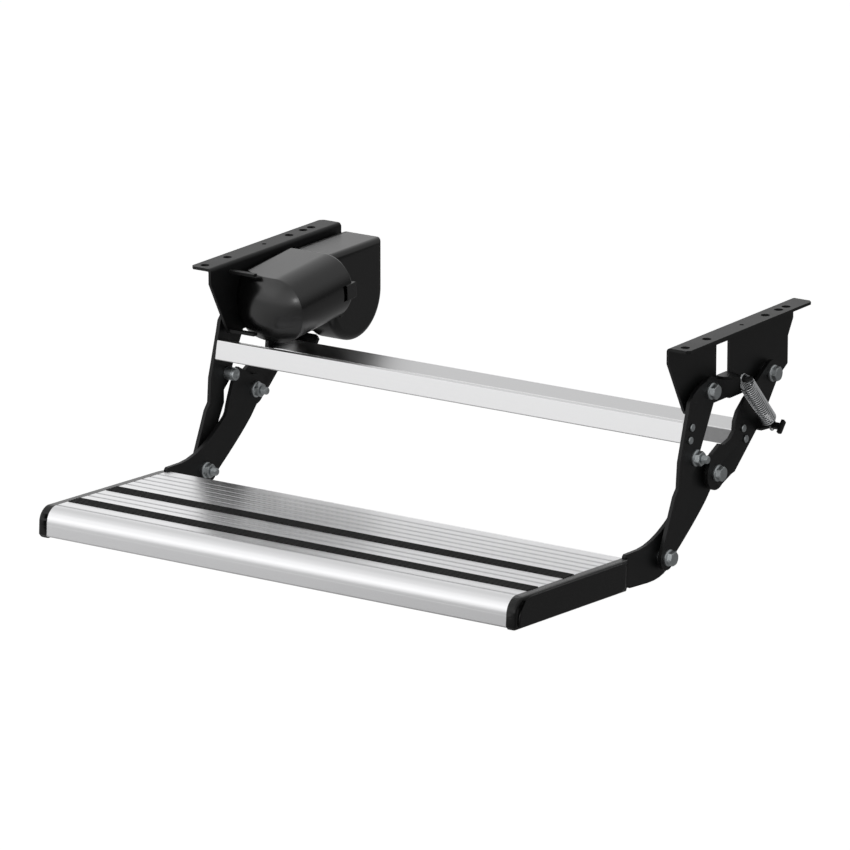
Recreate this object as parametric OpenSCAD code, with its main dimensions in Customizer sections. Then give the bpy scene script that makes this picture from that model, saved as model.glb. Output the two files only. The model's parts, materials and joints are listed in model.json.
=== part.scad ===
// Electric pull-out entrance step for a caravan.
// Two sheet brackets bolt under the floor. Two pairs of flat arms hang from them and carry the
// tread board. A worm gear motor behind the left bracket swings the rear arms, and a tension
// spring on the right helps it. Shown pulled out, ready to tread on.
// The origin is the centre of the four outer bolt holes, on top of the flanges.
// X runs to the right, Y to the rear (under the vehicle), Z up. Lengths are in millimetres.
// A point in a side view is written [y, z].

/* [Brackets] */
// Half the distance between the inner faces of the two brackets
inner_half = 267; // [230:1:300]
// Thickness of the bracket sheet
sheet_t = 3; // [2.5:0.25:3.5]
// Outer radius of the bend between web and flange
bend_r = 4; // [3.75:0.25:6]
// Width of the bolting flange from the inner face of the web
flange_w = 25; // [23:1:32]
// Distance from the inner face of the web to the row of bolt holes
hole_inset = 14.5; // [13.5:0.5:16.5]
// Distance between the outer bolt holes, front to rear
hole_pitch_y = 185; // [180:1:195]
// Diameter of a bolt hole
bolt_hole_d = 9; // [7:0.5:10]
// Front inner bolt hole, measured from the origin
front_inner_hole_y = -53.9; // [-65:0.1:-45]
// Rear inner bolt hole, measured from the origin
rear_inner_hole_y = 53.5; // [45:0.1:60]
// Extra bolt hole ahead of the rear outer one, measured from the origin
rear_extra_hole_y = 78.4; // [72:0.1:80]
// Small cable tie hole, measured from the origin
tie_hole_y = 10; // [0:0.5:20]
// Diameter of the cable tie hole
tie_hole_d = 4.5; // [3:0.5:6]
// Length of flange ahead of the front bolt hole
flange_front = 10.5; // [9:0.5:16]
// Length of flange behind the rear bolt hole
flange_rear = 33; // [30:1:40]
// Cut corner of the flange
flange_corner = 3.5; // [2:0.5:6]

/* [Linkage] */
// Front pivot on the bracket, distance behind the origin
front_pivot_y = -39.3; // [-42:0.1:-36]
// Front pivot on the bracket, height
front_pivot_z = -55.5; // [-58:0.1:-54]
// Rear pivot on the bracket, distance behind the origin
rear_pivot_y = 74; // [71:0.1:78]
// Rear pivot on the bracket, height
rear_pivot_z = -63.3; // [-66:0.1:-62]
// Length of a front arm between its pivots
front_arm_len = 166.7; // [160:0.1:175]
// Direction of a front arm when pulled out
front_arm_dir = -116.9; // [-119:0.1:-115]
// Length of a rear arm between its pivots
rear_arm_len = 127.1; // [123:0.1:131]
// Direction of a rear arm when pulled out
rear_arm_dir = -142.6; // [-144:0.1:-141]

/* [Arms] */
// Thickness of an arm
arm_t = 4; // [3:0.5:5]
// Gap between bracket and arm, filled by a spacer and a bush flange
arm_gap = 4; // [3.5:0.25:5]
// Radius of a front arm's upper eye
front_eye_r = 14; // [12:0.5:15]
// Radius of a front arm's lower eye
front_toe_r = 12.5; // [11:0.5:14]
// Radius of a rear arm's upper eye
rear_eye_r = 13; // [12:0.5:15]
// Radius of a rear arm's lower eye
rear_toe_r = 17; // [15:0.5:18]
// Distance of the spring tab from the rear pivot, along the arm
arm_tab_along = 45.7; // [44:0.1:47]
// Offset of the spring tab under the arm's centre line
arm_tab_across = 21.9; // [20:0.1:23]
// Width of the spring tab where it leaves the arm
arm_tab_w = 14; // [13:0.5:16]
// Reach of the spring tab from the arm's outer face
arm_tab_reach = 27; // [25:0.5:30]

/* [Cross bars] */
// Side of a square cross bar
bar_side = 20; // [18:0.5:22]
// Wall of a cross bar
bar_wall = 2; // [1.5:0.25:3]
// Distance of the front bar from the front pivot, along the arm
front_bar_along = 47.2; // [45:0.1:50]
// Offset of the front bar to the front of the arm's centre line
front_bar_across = -16.6; // [-18:0.1:-15]
// Distance of the rear bar from the rear pivot, along the arm
rear_bar_along = 70.8; // [69:0.1:72]
// Offset of the rear bar under the arm's centre line
rear_bar_across = 7.8; // [6:0.1:9]
// Lean of the front bar, its top to the rear
front_bar_lean = 14; // [0:1:20]
// Lean of the rear bar, its top to the front
rear_bar_lean = 21; // [10:1:30]
// Distance between the two end screws of a bar
bar_screw_pitch = 12.5; // [11:0.5:13]

/* [Pivot fasteners] */
// Diameter of the pivot bolts
pivot_d = 8; // [6:0.5:9]
// Radial running clearance of a pivot
pivot_clear = 0.05; // [0.02:0.01:0.08]
// Width across flats of the bolt heads and nuts
hex_af = 13; // [12:0.5:14]
// Diameter of the flange under a head or nut
hex_flange_d = 16.5; // [16:0.5:19]
// Thickness of that flange
hex_flange_t = 2.5; // [1:0.25:3]
// Height of a head or nut with its flange
hex_h = 8; // [6:0.5:9]
// Outer diameter of an arm bush
bush_d = 11.5; // [11:0.25:12.5]
// Diameter of the bush flange
bush_flange_d = 16; // [14:0.5:18]
// Thickness of the bush flange
bush_flange_t = 1; // [0.75:0.25:1.5]
// Play between faces that slide on each other
face_play = 0.1; // [0.05:0.05:0.2]
// Thread left bare beyond a nut
thread_stub = 7; // [4:0.5:9]

/* [Folding stop] */
// Distance of the stop from the front pivot, along the arm
stop_along = 66.1; // [65:0.1:67.5]
// Offset of the stop to the rear of the arm's centre line
stop_across = 3.4; // [2:0.1:4]
// Diameter of the stop sleeve
stop_d = 13.4; // [12:0.1:14]
// Length of the stop sleeve
stop_sleeve_l = 8.5; // [7.5:0.5:10]

/* [Tread] */
// Downward slope of the tread to the rear
tread_slope = 3.1; // [0:0.1:6]
// Depth of the board from nosing to rear edge
board_depth = 202; // [190:1:215]
// Thickness of the board
board_t = 29.2; // [26:0.1:32]
// Board's rear edge ahead of the lower front pivot
board_setback = 63; // [60:1:70]
// Height of the tread surface over the lower front pivot
board_top = 10.4; // [8:0.1:12]
// Radius of the nosing
nosing_r = 15.5; // [12:0.5:18]
// Wall of the board
board_wall = 2.4; // [2:0.1:3]
// Number of hollow cells in the board
board_cells = 5; // [5:1:7]
// Distance between grooves
groove_pitch = 13.4; // [12:0.1:14]
// Width of a groove
groove_w = 1.6; // [1:0.1:2.5]
// Depth of a groove
groove_depth = 1.2; // [0.6:0.1:1.6]
// Width of an anti-slip strip
strip_w = 20; // [17:0.5:22]
// Depth of the channel of a strip
strip_depth = 2.4; // [2:0.1:3]
// Distance from the nosing's first groove to the front strip's centre
front_strip_at = 28.4; // [26:0.1:31]
// Distance from the nosing's first groove to the rear strip's centre
rear_strip_at = 90.4; // [88:0.1:93]
// Height of the ribs of a strip over the tread surface
rib_h = 0.8; // [0.4:0.1:1.2]

/* [Side plates and end caps] */
// Thickness of a side plate
plate_t = 4; // [3:0.5:4.5]
// Distance from the nosing's front to a side plate's foot
foot_setback = 52; // [40:1:60]
// Thickness of an end cap
cap_t = 10; // [8:0.25:11]
// Edge radius of an end cap
cap_edge_r = 4; // [2:0.5:4.5]
// Length of an end cap behind the board
cap_tail = 7; // [5:0.5:9]
// Diameter of a side plate screw
plate_screw_d = 4.6; // [4:0.1:5]

/* [Return spring] */
// Wire of the spring
wire_d = 1.7; // [1.2:0.1:2]
// Outer diameter of the spring
spring_od = 16.5; // [13:0.1:18]
// Number of curls
curls = 21; // [16:1:22]
// Distance of the spring from the arm's outer face
spring_out = 15; // [14:0.5:17]

/* [Motor and gear] */
// Upward tilt of the motor to the rear
motor_tilt = 5; // [4:0.5:6]
// Distance of the motor's axis from the web's inner face
motor_inset = 35; // [33.5:0.5:37]
// Outer diameter of the motor can
motor_d = 54; // [50:0.5:55]
// Wall of the motor can
can_wall = 2; // [1.5:0.25:2.5]
// Module of the worm gear
gear_module = 1.25; // [1:0.05:1.3]
// Number of teeth of the worm wheel
wheel_teeth = 40; // [38:1:42]
// Face width of the worm wheel
wheel_w = 14; // [12:0.5:16]
// Pitch diameter of the worm
worm_pitch_d = 15.2; // [14:0.1:17]
// Diameter of the output shaft
shaft_d = 12; // [10:0.5:13]
// Height of the motor cover
motor_cover_h = 67.5; // [66:0.5:69]
// Width of the motor cover from the web
motor_cover_w = 83.5; // [80:0.5:90]
// Front of the motor cover ahead of the origin
motor_cover_front = 74; // [72:0.5:76]
// Middle of the motor cover below the motor's axis
motor_cover_drop = 2; // [1:0.5:2.5]
// Radius of the motor cover's domed front, seen from the side
motor_dome_r = 52; // [45:0.5:60]
// Radius of that front, seen from above
motor_dome_plan_r = 75; // [70:0.5:90]
// Wall of both covers
cover_wall = 2; // [1.5:0.25:2.25]
// Width of the gear cover from the web
gear_cover_w = 55; // [54:0.5:60]
// Radius of the gear cover's round bottom
gear_cover_r = 46.5; // [45:0.5:48]
// Edge radius of the gear cover
gear_cover_edge = 8; // [5:0.5:9]
// Top of the gear cover below the flange top
gear_cover_top = 7; // [5:0.5:9]

/* [Hidden] */
$fn = 48;

RIGHT = 1;
LEFT = -1;

// Clearance of pieces that are pushed or screwed together
fit = 0.05;
// Clearance of covers and of what they hold
loose = 0.3;

// Pivots, as [y, z]
front_pivot = [front_pivot_y, front_pivot_z];
rear_pivot = [rear_pivot_y, rear_pivot_z];
front_link = front_pivot + front_arm_len * [cos(front_arm_dir), sin(front_arm_dir)];
rear_link = rear_pivot + rear_arm_len * [cos(rear_arm_dir), sin(rear_arm_dir)];

// Layers from the middle outward
web_out = inner_half + sheet_t;
arm_in = web_out + arm_gap;
arm_out = arm_in + arm_t;
plate_out = inner_half + plate_t;
head_seat = arm_out + face_play;
spacer_end = arm_in - bush_flange_t - face_play;

// Point at s along and t across a line that starts at o with direction dir
function along(o, dir, s, t) =
    o + s * [cos(dir), sin(dir)] + t * [-sin(dir), cos(dir)];
function on_front_arm(s, t) = along(front_pivot, front_arm_dir, s, t);
function on_front_toe(s, t) = along(front_link, front_arm_dir, s, t);
function on_rear_arm(s, t) = along(rear_pivot, rear_arm_dir, s, t);
function on_rear_toe(s, t) = along(rear_link, rear_arm_dir, s, t);
function on_tread(u, v) = along(front_link, -tread_slope, u, v);
// Smooth stretch from a to c that is drawn towards b
function bend(a, b, c, n = 6) =
    [for (i = [0:n]) let (k = i / n) (1 - k) * (1 - k) * a + 2 * k * (1 - k) * b + k * k * c];

stop_at = on_front_arm(stop_along, stop_across);
front_bar_at = on_front_arm(front_bar_along, front_bar_across);
rear_bar_at = on_rear_arm(rear_bar_along, rear_bar_across);
arm_tab_at = on_rear_arm(arm_tab_along, arm_tab_across);
arm_tab_dir = rear_arm_dir + 191.6;

// Extrudes a side view [y, z] from x0 to x1
module side_view(x0, x1) {
    translate([x0, 0, 0]) rotate([90, 0, 90]) linear_extrude(x1 - x0) children();
}
// Places children, drawn for the right side, on one side
module on_side(side) {
    if (side == LEFT) mirror([1, 0, 0]) children();
    else children();
}
module on_both_sides() {
    for (side = [LEFT, RIGHT]) on_side(side) children();
}
// Cylinder along X, round the point at [y, z], from x0 to x1
module rod(at, x0, x1, d) {
    translate([x0, at.x, at.y]) rotate([0, 90, 0]) cylinder(h = x1 - x0, d = d);
}
// Hexagon along X
module hex_rod(at, x0, x1, af) {
    translate([x0, at.x, at.y]) rotate([0, 90, 0])
        cylinder(h = x1 - x0, d = af / cos(30), $fn = 6);
}
module ring(at, x0, x1, d, bore) {
    difference() {
        rod(at, x0, x1, d);
        rod(at, x0 - 1, x1 + 1, bore);
    }
}
module rounded_rect(w, h, r) {
    translate([r, 0]) square([w - 2 * r, h]);
    translate([0, r]) square([w, h - 2 * r]);
    for (cx = [r, w - r], cy = [r, h - r]) translate([cx, cy]) circle(r);
}
// Hex head with its flange, seated at x and standing outward
module flange_head(at, x, h = hex_h) {
    rod(at, x, x + hex_flange_t, hex_flange_d);
    hex_rod(at, x, x + h, hex_af);
}
// Flange nut seated at x and standing inward
module flange_nut(at, x) {
    difference() {
        union() {
            rod(at, x - hex_flange_t, x, hex_flange_d);
            hex_rod(at, x - hex_h, x, hex_af);
        }
        rod(at, x - hex_h - 1, x + 1, pivot_d + 2 * fit);
    }
}

// Brackets
hole_x = inner_half + hole_inset;
bracket_front = -hole_pitch_y / 2 - flange_front;
bracket_rear = hole_pitch_y / 2 + flange_rear;
web_foot_front = front_pivot.y - 17.5;
web_foot_rear = rear_pivot.y - 11.7;
slot_front = front_pivot.x + 22.3;
slot_rear = slot_front + 24.5;
slot_top = -16;
web_tab_top = -47.5;
web_tab_w = 20;
web_tab_at = [slot_front + 13, web_tab_top - sheet_t / 2];
neck_w = 6;
tab_head_w = 14;
tab_head_t = 4;
spring_x = arm_out + spring_out;
neck_len = wire_d + 4;

module web_outline(rear_relief = 0) {
    polygon([
        [bracket_front, -bend_r],
        [bracket_front, -16],
        front_pivot + [-35.2, -13.5],
        [front_pivot.x - 31.7, web_foot_front],
        [front_pivot.x + 44.3, web_foot_front],
        [front_pivot.x + 47.3, web_foot_rear],
        [rear_pivot.x + 23, web_foot_rear],
        rear_pivot + [42 - rear_relief, -0.7],
        rear_pivot + [42 - rear_relief, 27.3],
        [bracket_rear, -20],
        [bracket_rear, -bend_r]]);
}
module flange_profile() {
    translate([inner_half + bend_r, -sheet_t]) square([flange_w - bend_r, sheet_t]);
    intersection() {
        translate([inner_half + bend_r, -bend_r]) difference() {
            circle(bend_r);
            circle(bend_r - sheet_t);
        }
        translate([inner_half, -bend_r]) square(bend_r);
    }
}
module flange_corners() {
    for (corner = [[bracket_front, 45], [bracket_rear, 45]])
        translate([inner_half + flange_w, corner.x, -sheet_t - 1]) rotate(corner.y)
            cube([flange_corner * sqrt(2), flange_corner * sqrt(2), 4 * sheet_t], center = true);
}
module bolt_holes() {
    for (y = [-hole_pitch_y / 2, front_inner_hole_y, rear_inner_hole_y, rear_extra_hole_y,
            hole_pitch_y / 2])
        translate([hole_x, y, -sheet_t - 1]) cylinder(h = sheet_t + 2, d = bolt_hole_d);
    translate([hole_x, tie_hole_y, -sheet_t - 1]) cylinder(h = sheet_t + 2, d = tie_hole_d);
}
// Flat tab along X with a neck and a T-shaped end, drawn as [x, across]
module tab_outline(root_x, root_w, reach_x) {
    neck_start = spring_x - neck_len / 2;
    head_start = reach_x - tab_head_t;
    polygon([
        [root_x, -root_w / 2],
        [root_x + 8, -root_w / 2],
        [neck_start, -neck_w / 2],
        [head_start, -neck_w / 2],
        [head_start, -tab_head_w / 2],
        [reach_x - 1, -tab_head_w / 2],
        [reach_x, -tab_head_w / 2 + 1],
        [reach_x, tab_head_w / 2 - 1],
        [reach_x - 1, tab_head_w / 2],
        [head_start, tab_head_w / 2],
        [head_start, neck_w / 2],
        [neck_start, neck_w / 2],
        [root_x + 8, root_w / 2],
        [root_x, root_w / 2]]);
}
module bracket_sheet(rear_relief = 0) {
    difference() {
        union() {
            side_view(inner_half, web_out) web_outline(rear_relief);
            translate([0, bracket_rear, 0]) rotate([90, 0, 0])
                linear_extrude(bracket_rear - bracket_front) flange_profile();
        }
        flange_corners();
        bolt_holes();
        rod(front_pivot, inner_half - 1, web_out + 1, pivot_d + 2 * fit);
    }
}
module right_bracket() color([0.12, 0.12, 0.13]) {
    difference() {
        bracket_sheet();
        rod(rear_pivot, inner_half - 1, web_out + 1, pivot_d + 2 * fit);
        side_view(inner_half - 1, web_out + 1) {
            translate([slot_front, web_tab_at.y]) square([slot_rear - slot_front,
                slot_top - web_tab_at.y]);
        }
    }
    translate([0, web_tab_at.x, web_tab_top - sheet_t]) linear_extrude(sheet_t)
        tab_outline(inner_half, web_tab_w, spring_x + neck_len / 2 + tab_head_t);
}
module left_bracket() color([0.12, 0.12, 0.13]) on_side(LEFT) {
    difference() {
        bracket_sheet(guide_relief);
        rod(rear_pivot, inner_half - 1, web_out + 1, shaft_d + 2 * loose);
        for (screw = housing_screws_at)
            rod(screw, inner_half - 1, web_out + 1, housing_screw_d + 2 * fit);
    }
    cover_lugs();
}
// Room for the left arm's tab behind the web
guide_relief = 5.5;
// Two lugs, bent inward from the left web, that hold the motor cover's front rim
lug_reach = 30;
lug_w = 6;
lug_y = -72;
module cover_lugs() {
    lug_top = motor_axis_z(lug_y + lug_w) - motor_cover_drop + motor_cover_h / 2 + loose;
    lug_bottom = motor_axis_z(lug_y) - motor_cover_drop - motor_cover_h / 2 + 10.5;
    for (z = [lug_top, lug_bottom - sheet_t])
        translate([inner_half - lug_reach, lug_y, z]) cube([lug_reach + sheet_t, lug_w, sheet_t]);
}

module frame_pivot_bolts() color([0.3, 0.33, 0.34]) {
    frame_bolt(front_pivot);
    frame_bolt(rear_pivot);
    on_side(LEFT) frame_bolt(front_pivot);
}
frame_stub = 1;
module frame_bolt(at) {
    flange_head(at, head_seat);
    rod(at, inner_half - hex_h - frame_stub, head_seat + 1, pivot_d);
}
module frame_pivot_nuts() color([0.3, 0.33, 0.34]) {
    flange_nut(front_pivot, inner_half);
    flange_nut(rear_pivot, inner_half);
    on_side(LEFT) flange_nut(front_pivot, inner_half);
}
module frame_spacers() color([0.45, 0.46, 0.47]) {
    ring(front_pivot, web_out, spacer_end, bush_flange_d, pivot_d + 2 * fit);
    ring(rear_pivot, web_out, spacer_end, bush_flange_d, pivot_d + 2 * fit);
    on_side(LEFT) ring(front_pivot, web_out, spacer_end, bush_flange_d, pivot_d + 2 * fit);
}

// Arms
module front_arm_outline() {
    polygon([
        on_front_arm(-12.6, -5),
        on_front_arm(1.8, -22.3),
        on_front_arm(10.8, -29),
        on_front_arm(20.2, -32),
        on_front_arm(31.4, -29.7),
        on_front_arm(77.8, -21.8),
        on_front_toe(-65.7, -12.3),
        on_front_toe(-56.7, -14.5),
        on_front_toe(-23.6, -13.3),
        on_front_toe(-2.6, -front_toe_r),
        on_front_toe(2, front_toe_r - 1.5),
        on_front_toe(-53.7, 10.6),
        on_front_arm(94.7, 11.4),
        on_front_arm(83, 5.5),
        on_front_arm(68.7, 11.7),
        on_front_arm(56.6, 8.9),
        on_front_arm(9.6, 10.8),
        on_front_arm(0, front_eye_r)]);
    translate(front_pivot) circle(front_eye_r);
    translate(front_link) circle(front_toe_r);
}
module front_arm() {
    difference() {
        side_view(arm_in, arm_out) front_arm_outline();
        rod(front_pivot, arm_in - 1, arm_out + 1, bush_d + 2 * fit);
        rod(front_link, arm_in - 1, arm_out + 1, pivot_d + 2 * fit);
        rod(stop_at, arm_in - 1, arm_out + 1, pivot_d + 2 * fit);
        bar_screw_holes(front_bar_at, -front_bar_lean);
    }
}
module left_front_arm() color([0.1, 0.1, 0.11]) on_side(LEFT) front_arm();
module right_front_arm() color([0.1, 0.1, 0.11]) front_arm();

module rear_arm_outline() {
    polygon([
        on_rear_arm(0, -rear_eye_r),
        on_rear_arm(25.5, -16.1),
        on_rear_arm(48.7, -18.7),
        on_rear_arm(65.1, -18.6),
        on_rear_arm(74.5, -14.5),
        on_rear_arm(80.8, -8),
        on_rear_arm(90, -7.5),
        on_rear_toe(-25.8, -12.4),
        on_rear_toe(-21.5, -18.2),
        on_rear_toe(-5.3, -21.8),
        on_rear_toe(3.5, -rear_toe_r - 1.4),
        on_rear_toe(7, 0),
        on_rear_toe(0, rear_toe_r),
        on_rear_toe(-16.9, 22.4),
        on_rear_toe(-22.3, 25.2),
        on_rear_arm(51.6, 23.1),
        on_rear_arm(21.6, 18.4),
        on_rear_arm(0, rear_eye_r)]);
    translate(rear_pivot) circle(rear_eye_r);
    translate(rear_link) circle(rear_toe_r);
}
// Rear arm with a tab bent outward, whose outline is the child
module rear_arm() {
    difference() {
        union() {
            side_view(arm_in, arm_out) rear_arm_outline();
            translate([0, arm_tab_at.x, arm_tab_at.y]) rotate([arm_tab_dir, 0, 0])
                translate([0, 0, -arm_t / 2]) linear_extrude(arm_t) children();
        }
        rod(rear_link, arm_in - 1, arm_out + 1, bush_d + 2 * fit);
        bar_screw_holes(rear_bar_at, rear_bar_lean);
    }
}
module right_rear_arm() color([0.1, 0.1, 0.11]) difference() {
    rear_arm() tab_outline(arm_in, arm_tab_w, arm_out + arm_tab_reach);
    rod(rear_pivot, arm_in - 1, arm_out + 1, bush_d + 2 * fit);
}
drive_square = 9;
// The left arm's tab is plain and stands inward, where it meets the gear cover's step if the
// arm is bent sideways
guide_outer = 8;
guide_inner = 10;
module guide_tab_outline() {
    reach_x = arm_out + arm_tab_reach;
    polygon([
        [arm_in, -guide_outer],
        [reach_x - 2, -guide_outer],
        [reach_x, -guide_outer + 2],
        [reach_x, guide_inner - 3],
        [reach_x - 3, guide_inner],
        [arm_in, guide_inner]]);
}
module left_rear_arm() color([0.1, 0.1, 0.11]) translate([-arm_in - arm_out, 0, 0]) difference() {
    rear_arm() guide_tab_outline();
    translate([arm_in, rear_pivot.x, rear_pivot.y]) rotate([rear_arm_dir, 0, 0])
        cube([4 * arm_t, drive_square + 2 * fit, drive_square + 2 * fit], center = true);
}

// Cross bars: extruded square tubes with two screw ports
bar_screw_d = 4;
bar_screw_l = 20;
bar_head_d = 7.5;
bar_head_t = 2.2;
function bar_screws(at, lean) =
    [for (k = [-0.5, 0.5]) along(at, 90 + lean, k * bar_screw_pitch, 0)];
module bar_screw_holes(at, lean) {
    for (screw = bar_screws(at, lean))
        rod(screw, arm_in - 1, arm_out + 1, bar_screw_d + 2 * fit);
}
module bar_profile() {
    hollow = bar_side - 2 * bar_wall;
    difference() {
        translate(-[bar_side, bar_side] / 2) rounded_rect(bar_side, bar_side, 1.2);
        difference() {
            square(hollow, center = true);
            for (k = [-0.5, 0.5]) translate([0, k * bar_screw_pitch]) circle(d = 7);
        }
        for (k = [-0.5, 0.5]) translate([0, k * bar_screw_pitch]) circle(d = bar_screw_d + 2 * fit);
    }
}
module cross_bar(at, lean) {
    translate([-arm_in, at.x, at.y]) rotate([lean, 0, 0]) rotate([90, 0, 90])
        linear_extrude(2 * arm_in) bar_profile();
}
module bar_screw_set(at, lean) {
    on_both_sides() for (screw = bar_screws(at, lean)) {
        rod(screw, arm_out, arm_out + bar_head_t, bar_head_d);
        rod(screw, arm_out - bar_screw_l, arm_out + 1, bar_screw_d);
    }
}
module front_cross_bar() color([0.8, 0.8, 0.82]) cross_bar(front_bar_at, -front_bar_lean);
module rear_cross_bar() color([0.8, 0.8, 0.82]) cross_bar(rear_bar_at, rear_bar_lean);
module front_bar_screws() color([0.4, 0.42, 0.43]) bar_screw_set(front_bar_at, -front_bar_lean);
module rear_bar_screws() color([0.4, 0.42, 0.43]) bar_screw_set(rear_bar_at, rear_bar_lean);

module arm_bush(at) {
    difference() {
        union() {
            rod(at, arm_in - bush_flange_t, arm_in, bush_flange_d);
            rod(at, arm_in - 0.5, arm_out, bush_d);
        }
        rod(at, arm_in - 3, arm_out + 1, pivot_d + 2 * pivot_clear);
    }
}
module front_arm_bushes() color([0.75, 0.72, 0.62]) on_both_sides() arm_bush(front_pivot);
module rear_arm_bushes() color([0.75, 0.72, 0.62]) {
    arm_bush(rear_pivot);
    on_both_sides() arm_bush(rear_link);
}

// Stop on each front arm: the side plate's horn rests on it when the step is out, and it comes
// up under the web when the step is folded
stop_head_t = 3;
module stop_sleeves() color([0.35, 0.37, 0.38]) on_both_sides()
    ring(stop_at, arm_in - stop_sleeve_l, arm_in, stop_d, pivot_d + 2 * fit);
module stop_bolts() color([0.3, 0.33, 0.34]) on_both_sides() {
    rod(stop_at, arm_in - stop_sleeve_l - stop_head_t, arm_in - stop_sleeve_l, stop_d - 1);
    rod(stop_at, arm_in - stop_sleeve_l - 1, arm_out + hex_h + thread_stub, pivot_d);
}
module stop_nuts() color([0.3, 0.33, 0.34]) on_both_sides() difference() {
    flange_head(stop_at, arm_out);
    rod(stop_at, arm_out - 1, arm_out + hex_h + 1, pivot_d + 2 * fit);
}

// Lower front pivot: the bolt holds the front arm, the stud the side plate
link_gap = 0.3;
link_split = (plate_out + arm_in) / 2;
module front_link_bolts() color([0.3, 0.33, 0.34]) on_both_sides() {
    flange_head(front_link, arm_out);
    rod(front_link, arm_in - 0.5, arm_out + 1, pivot_d);
    rod(front_link, link_split + link_gap / 2, arm_in, bush_flange_d);
}
module front_link_studs() color([0.45, 0.46, 0.47]) on_both_sides() {
    rod(front_link, plate_out, link_split - link_gap / 2, bush_flange_d);
    rod(front_link, inner_half - hex_h - thread_stub, plate_out + 0.5, pivot_d);
}
module front_link_nuts() color([0.3, 0.33, 0.34]) on_both_sides()
    flange_nut(front_link, inner_half);

// Lower rear pivot
module tread_pivot_bolts() color([0.3, 0.33, 0.34]) on_both_sides() {
    flange_head(rear_link, head_seat);
    rod(rear_link, inner_half - hex_h - thread_stub, head_seat + 1, pivot_d);
}
module tread_pivot_nuts() color([0.3, 0.33, 0.34]) on_both_sides()
    flange_nut(rear_link, inner_half);
module tread_spacers() color([0.45, 0.46, 0.47]) on_both_sides()
    ring(rear_link, plate_out, spacer_end, bush_flange_d, pivot_d + 2 * fit);

// Tread board, drawn as [u, v] from the lower front pivot, u to the rear and v up
board_rear = -board_setback;
board_front = board_rear - board_depth;
board_bottom = board_top - board_t;
first_groove = board_front + nosing_r;
deck_wall = strip_depth + board_wall;
cell_pitch = (board_depth - board_wall) / board_cells;
port_d = 9;
port_v = board_bottom + board_t / 2 - 1;
ports = [for (i = [2:4]) board_front + board_wall / 2 + i * cell_pitch];
grooves = [0, front_strip_at + 22.9, front_strip_at + 22.9 + groove_pitch,
    for (i = [0:4]) rear_strip_at + 23.5 + i * groove_pitch];
cell_floor = board_bottom + board_wall;
cell_roof = board_top - deck_wall;

module board_outline() {
    translate([first_groove, board_top - nosing_r]) circle(nosing_r);
    translate([first_groove, board_bottom]) square([board_depth - nosing_r - 2, board_t]);
    translate([board_front, board_bottom])
        rounded_rect(board_depth, board_t - nosing_r, 2);
    translate([board_front + 2 * nosing_r, board_bottom])
        rounded_rect(board_depth - 2 * nosing_r, board_t, 2);
}
module board_cell(i) {
    u0 = board_front + board_wall + i * cell_pitch;
    cell_w = cell_pitch - board_wall;
    if (i == 0) intersection() {
        translate([u0, cell_floor]) square([cell_w, cell_roof - cell_floor]);
        union() {
            translate([first_groove, board_top - nosing_r]) circle(nosing_r - board_wall);
            translate([first_groove, cell_floor]) square([cell_w, board_t]);
            translate([u0, cell_floor]) square([cell_w, board_t - nosing_r - board_wall]);
        }
    }
    else translate([u0, cell_floor]) square([cell_w, cell_roof - cell_floor]);
}
module board_profile() {
    difference() {
        union() {
            difference() {
                board_outline();
                for (i = [0:board_cells - 1]) board_cell(i);
            }
            for (u = ports) translate([u, port_v]) circle(d = port_d);
        }
        for (u = ports) translate([u, port_v]) circle(d = plate_screw_d + 2 * fit);
        for (g = grooves) translate([first_groove + g, board_top - groove_depth])
            square([groove_w, groove_depth + 1]);
        for (c = [front_strip_at, rear_strip_at])
            translate([first_groove + c - strip_w / 2, board_top - strip_depth])
                square([strip_w, strip_depth + 1]);
    }
}
// Extrudes a tread section [u, v] from x0 to x1
module tread_view(x0, x1) {
    translate([x0, front_link.x, front_link.y]) rotate([-tread_slope, 0, 0])
        rotate([90, 0, 90]) linear_extrude(x1 - x0) children();
}
module tread_board() color([0.78, 0.78, 0.8]) tread_view(-inner_half, inner_half) board_profile();

ribs = 5;
module grip_strip(at) {
    rib_pitch = strip_w / ribs;
    tread_view(-inner_half, inner_half)
        translate([first_groove + at - strip_w / 2, board_top - strip_depth]) {
            translate([fit, 0]) square([strip_w - 2 * fit, strip_depth]);
            for (i = [0:ribs - 1]) translate([(i + 0.25) * rib_pitch, 0])
                square([rib_pitch / 2, strip_depth + rib_h]);
        }
}
module front_grip_strip() color([0.1, 0.1, 0.1]) grip_strip(front_strip_at);
module rear_grip_strip() color([0.1, 0.1, 0.1]) grip_strip(rear_strip_at);

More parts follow.
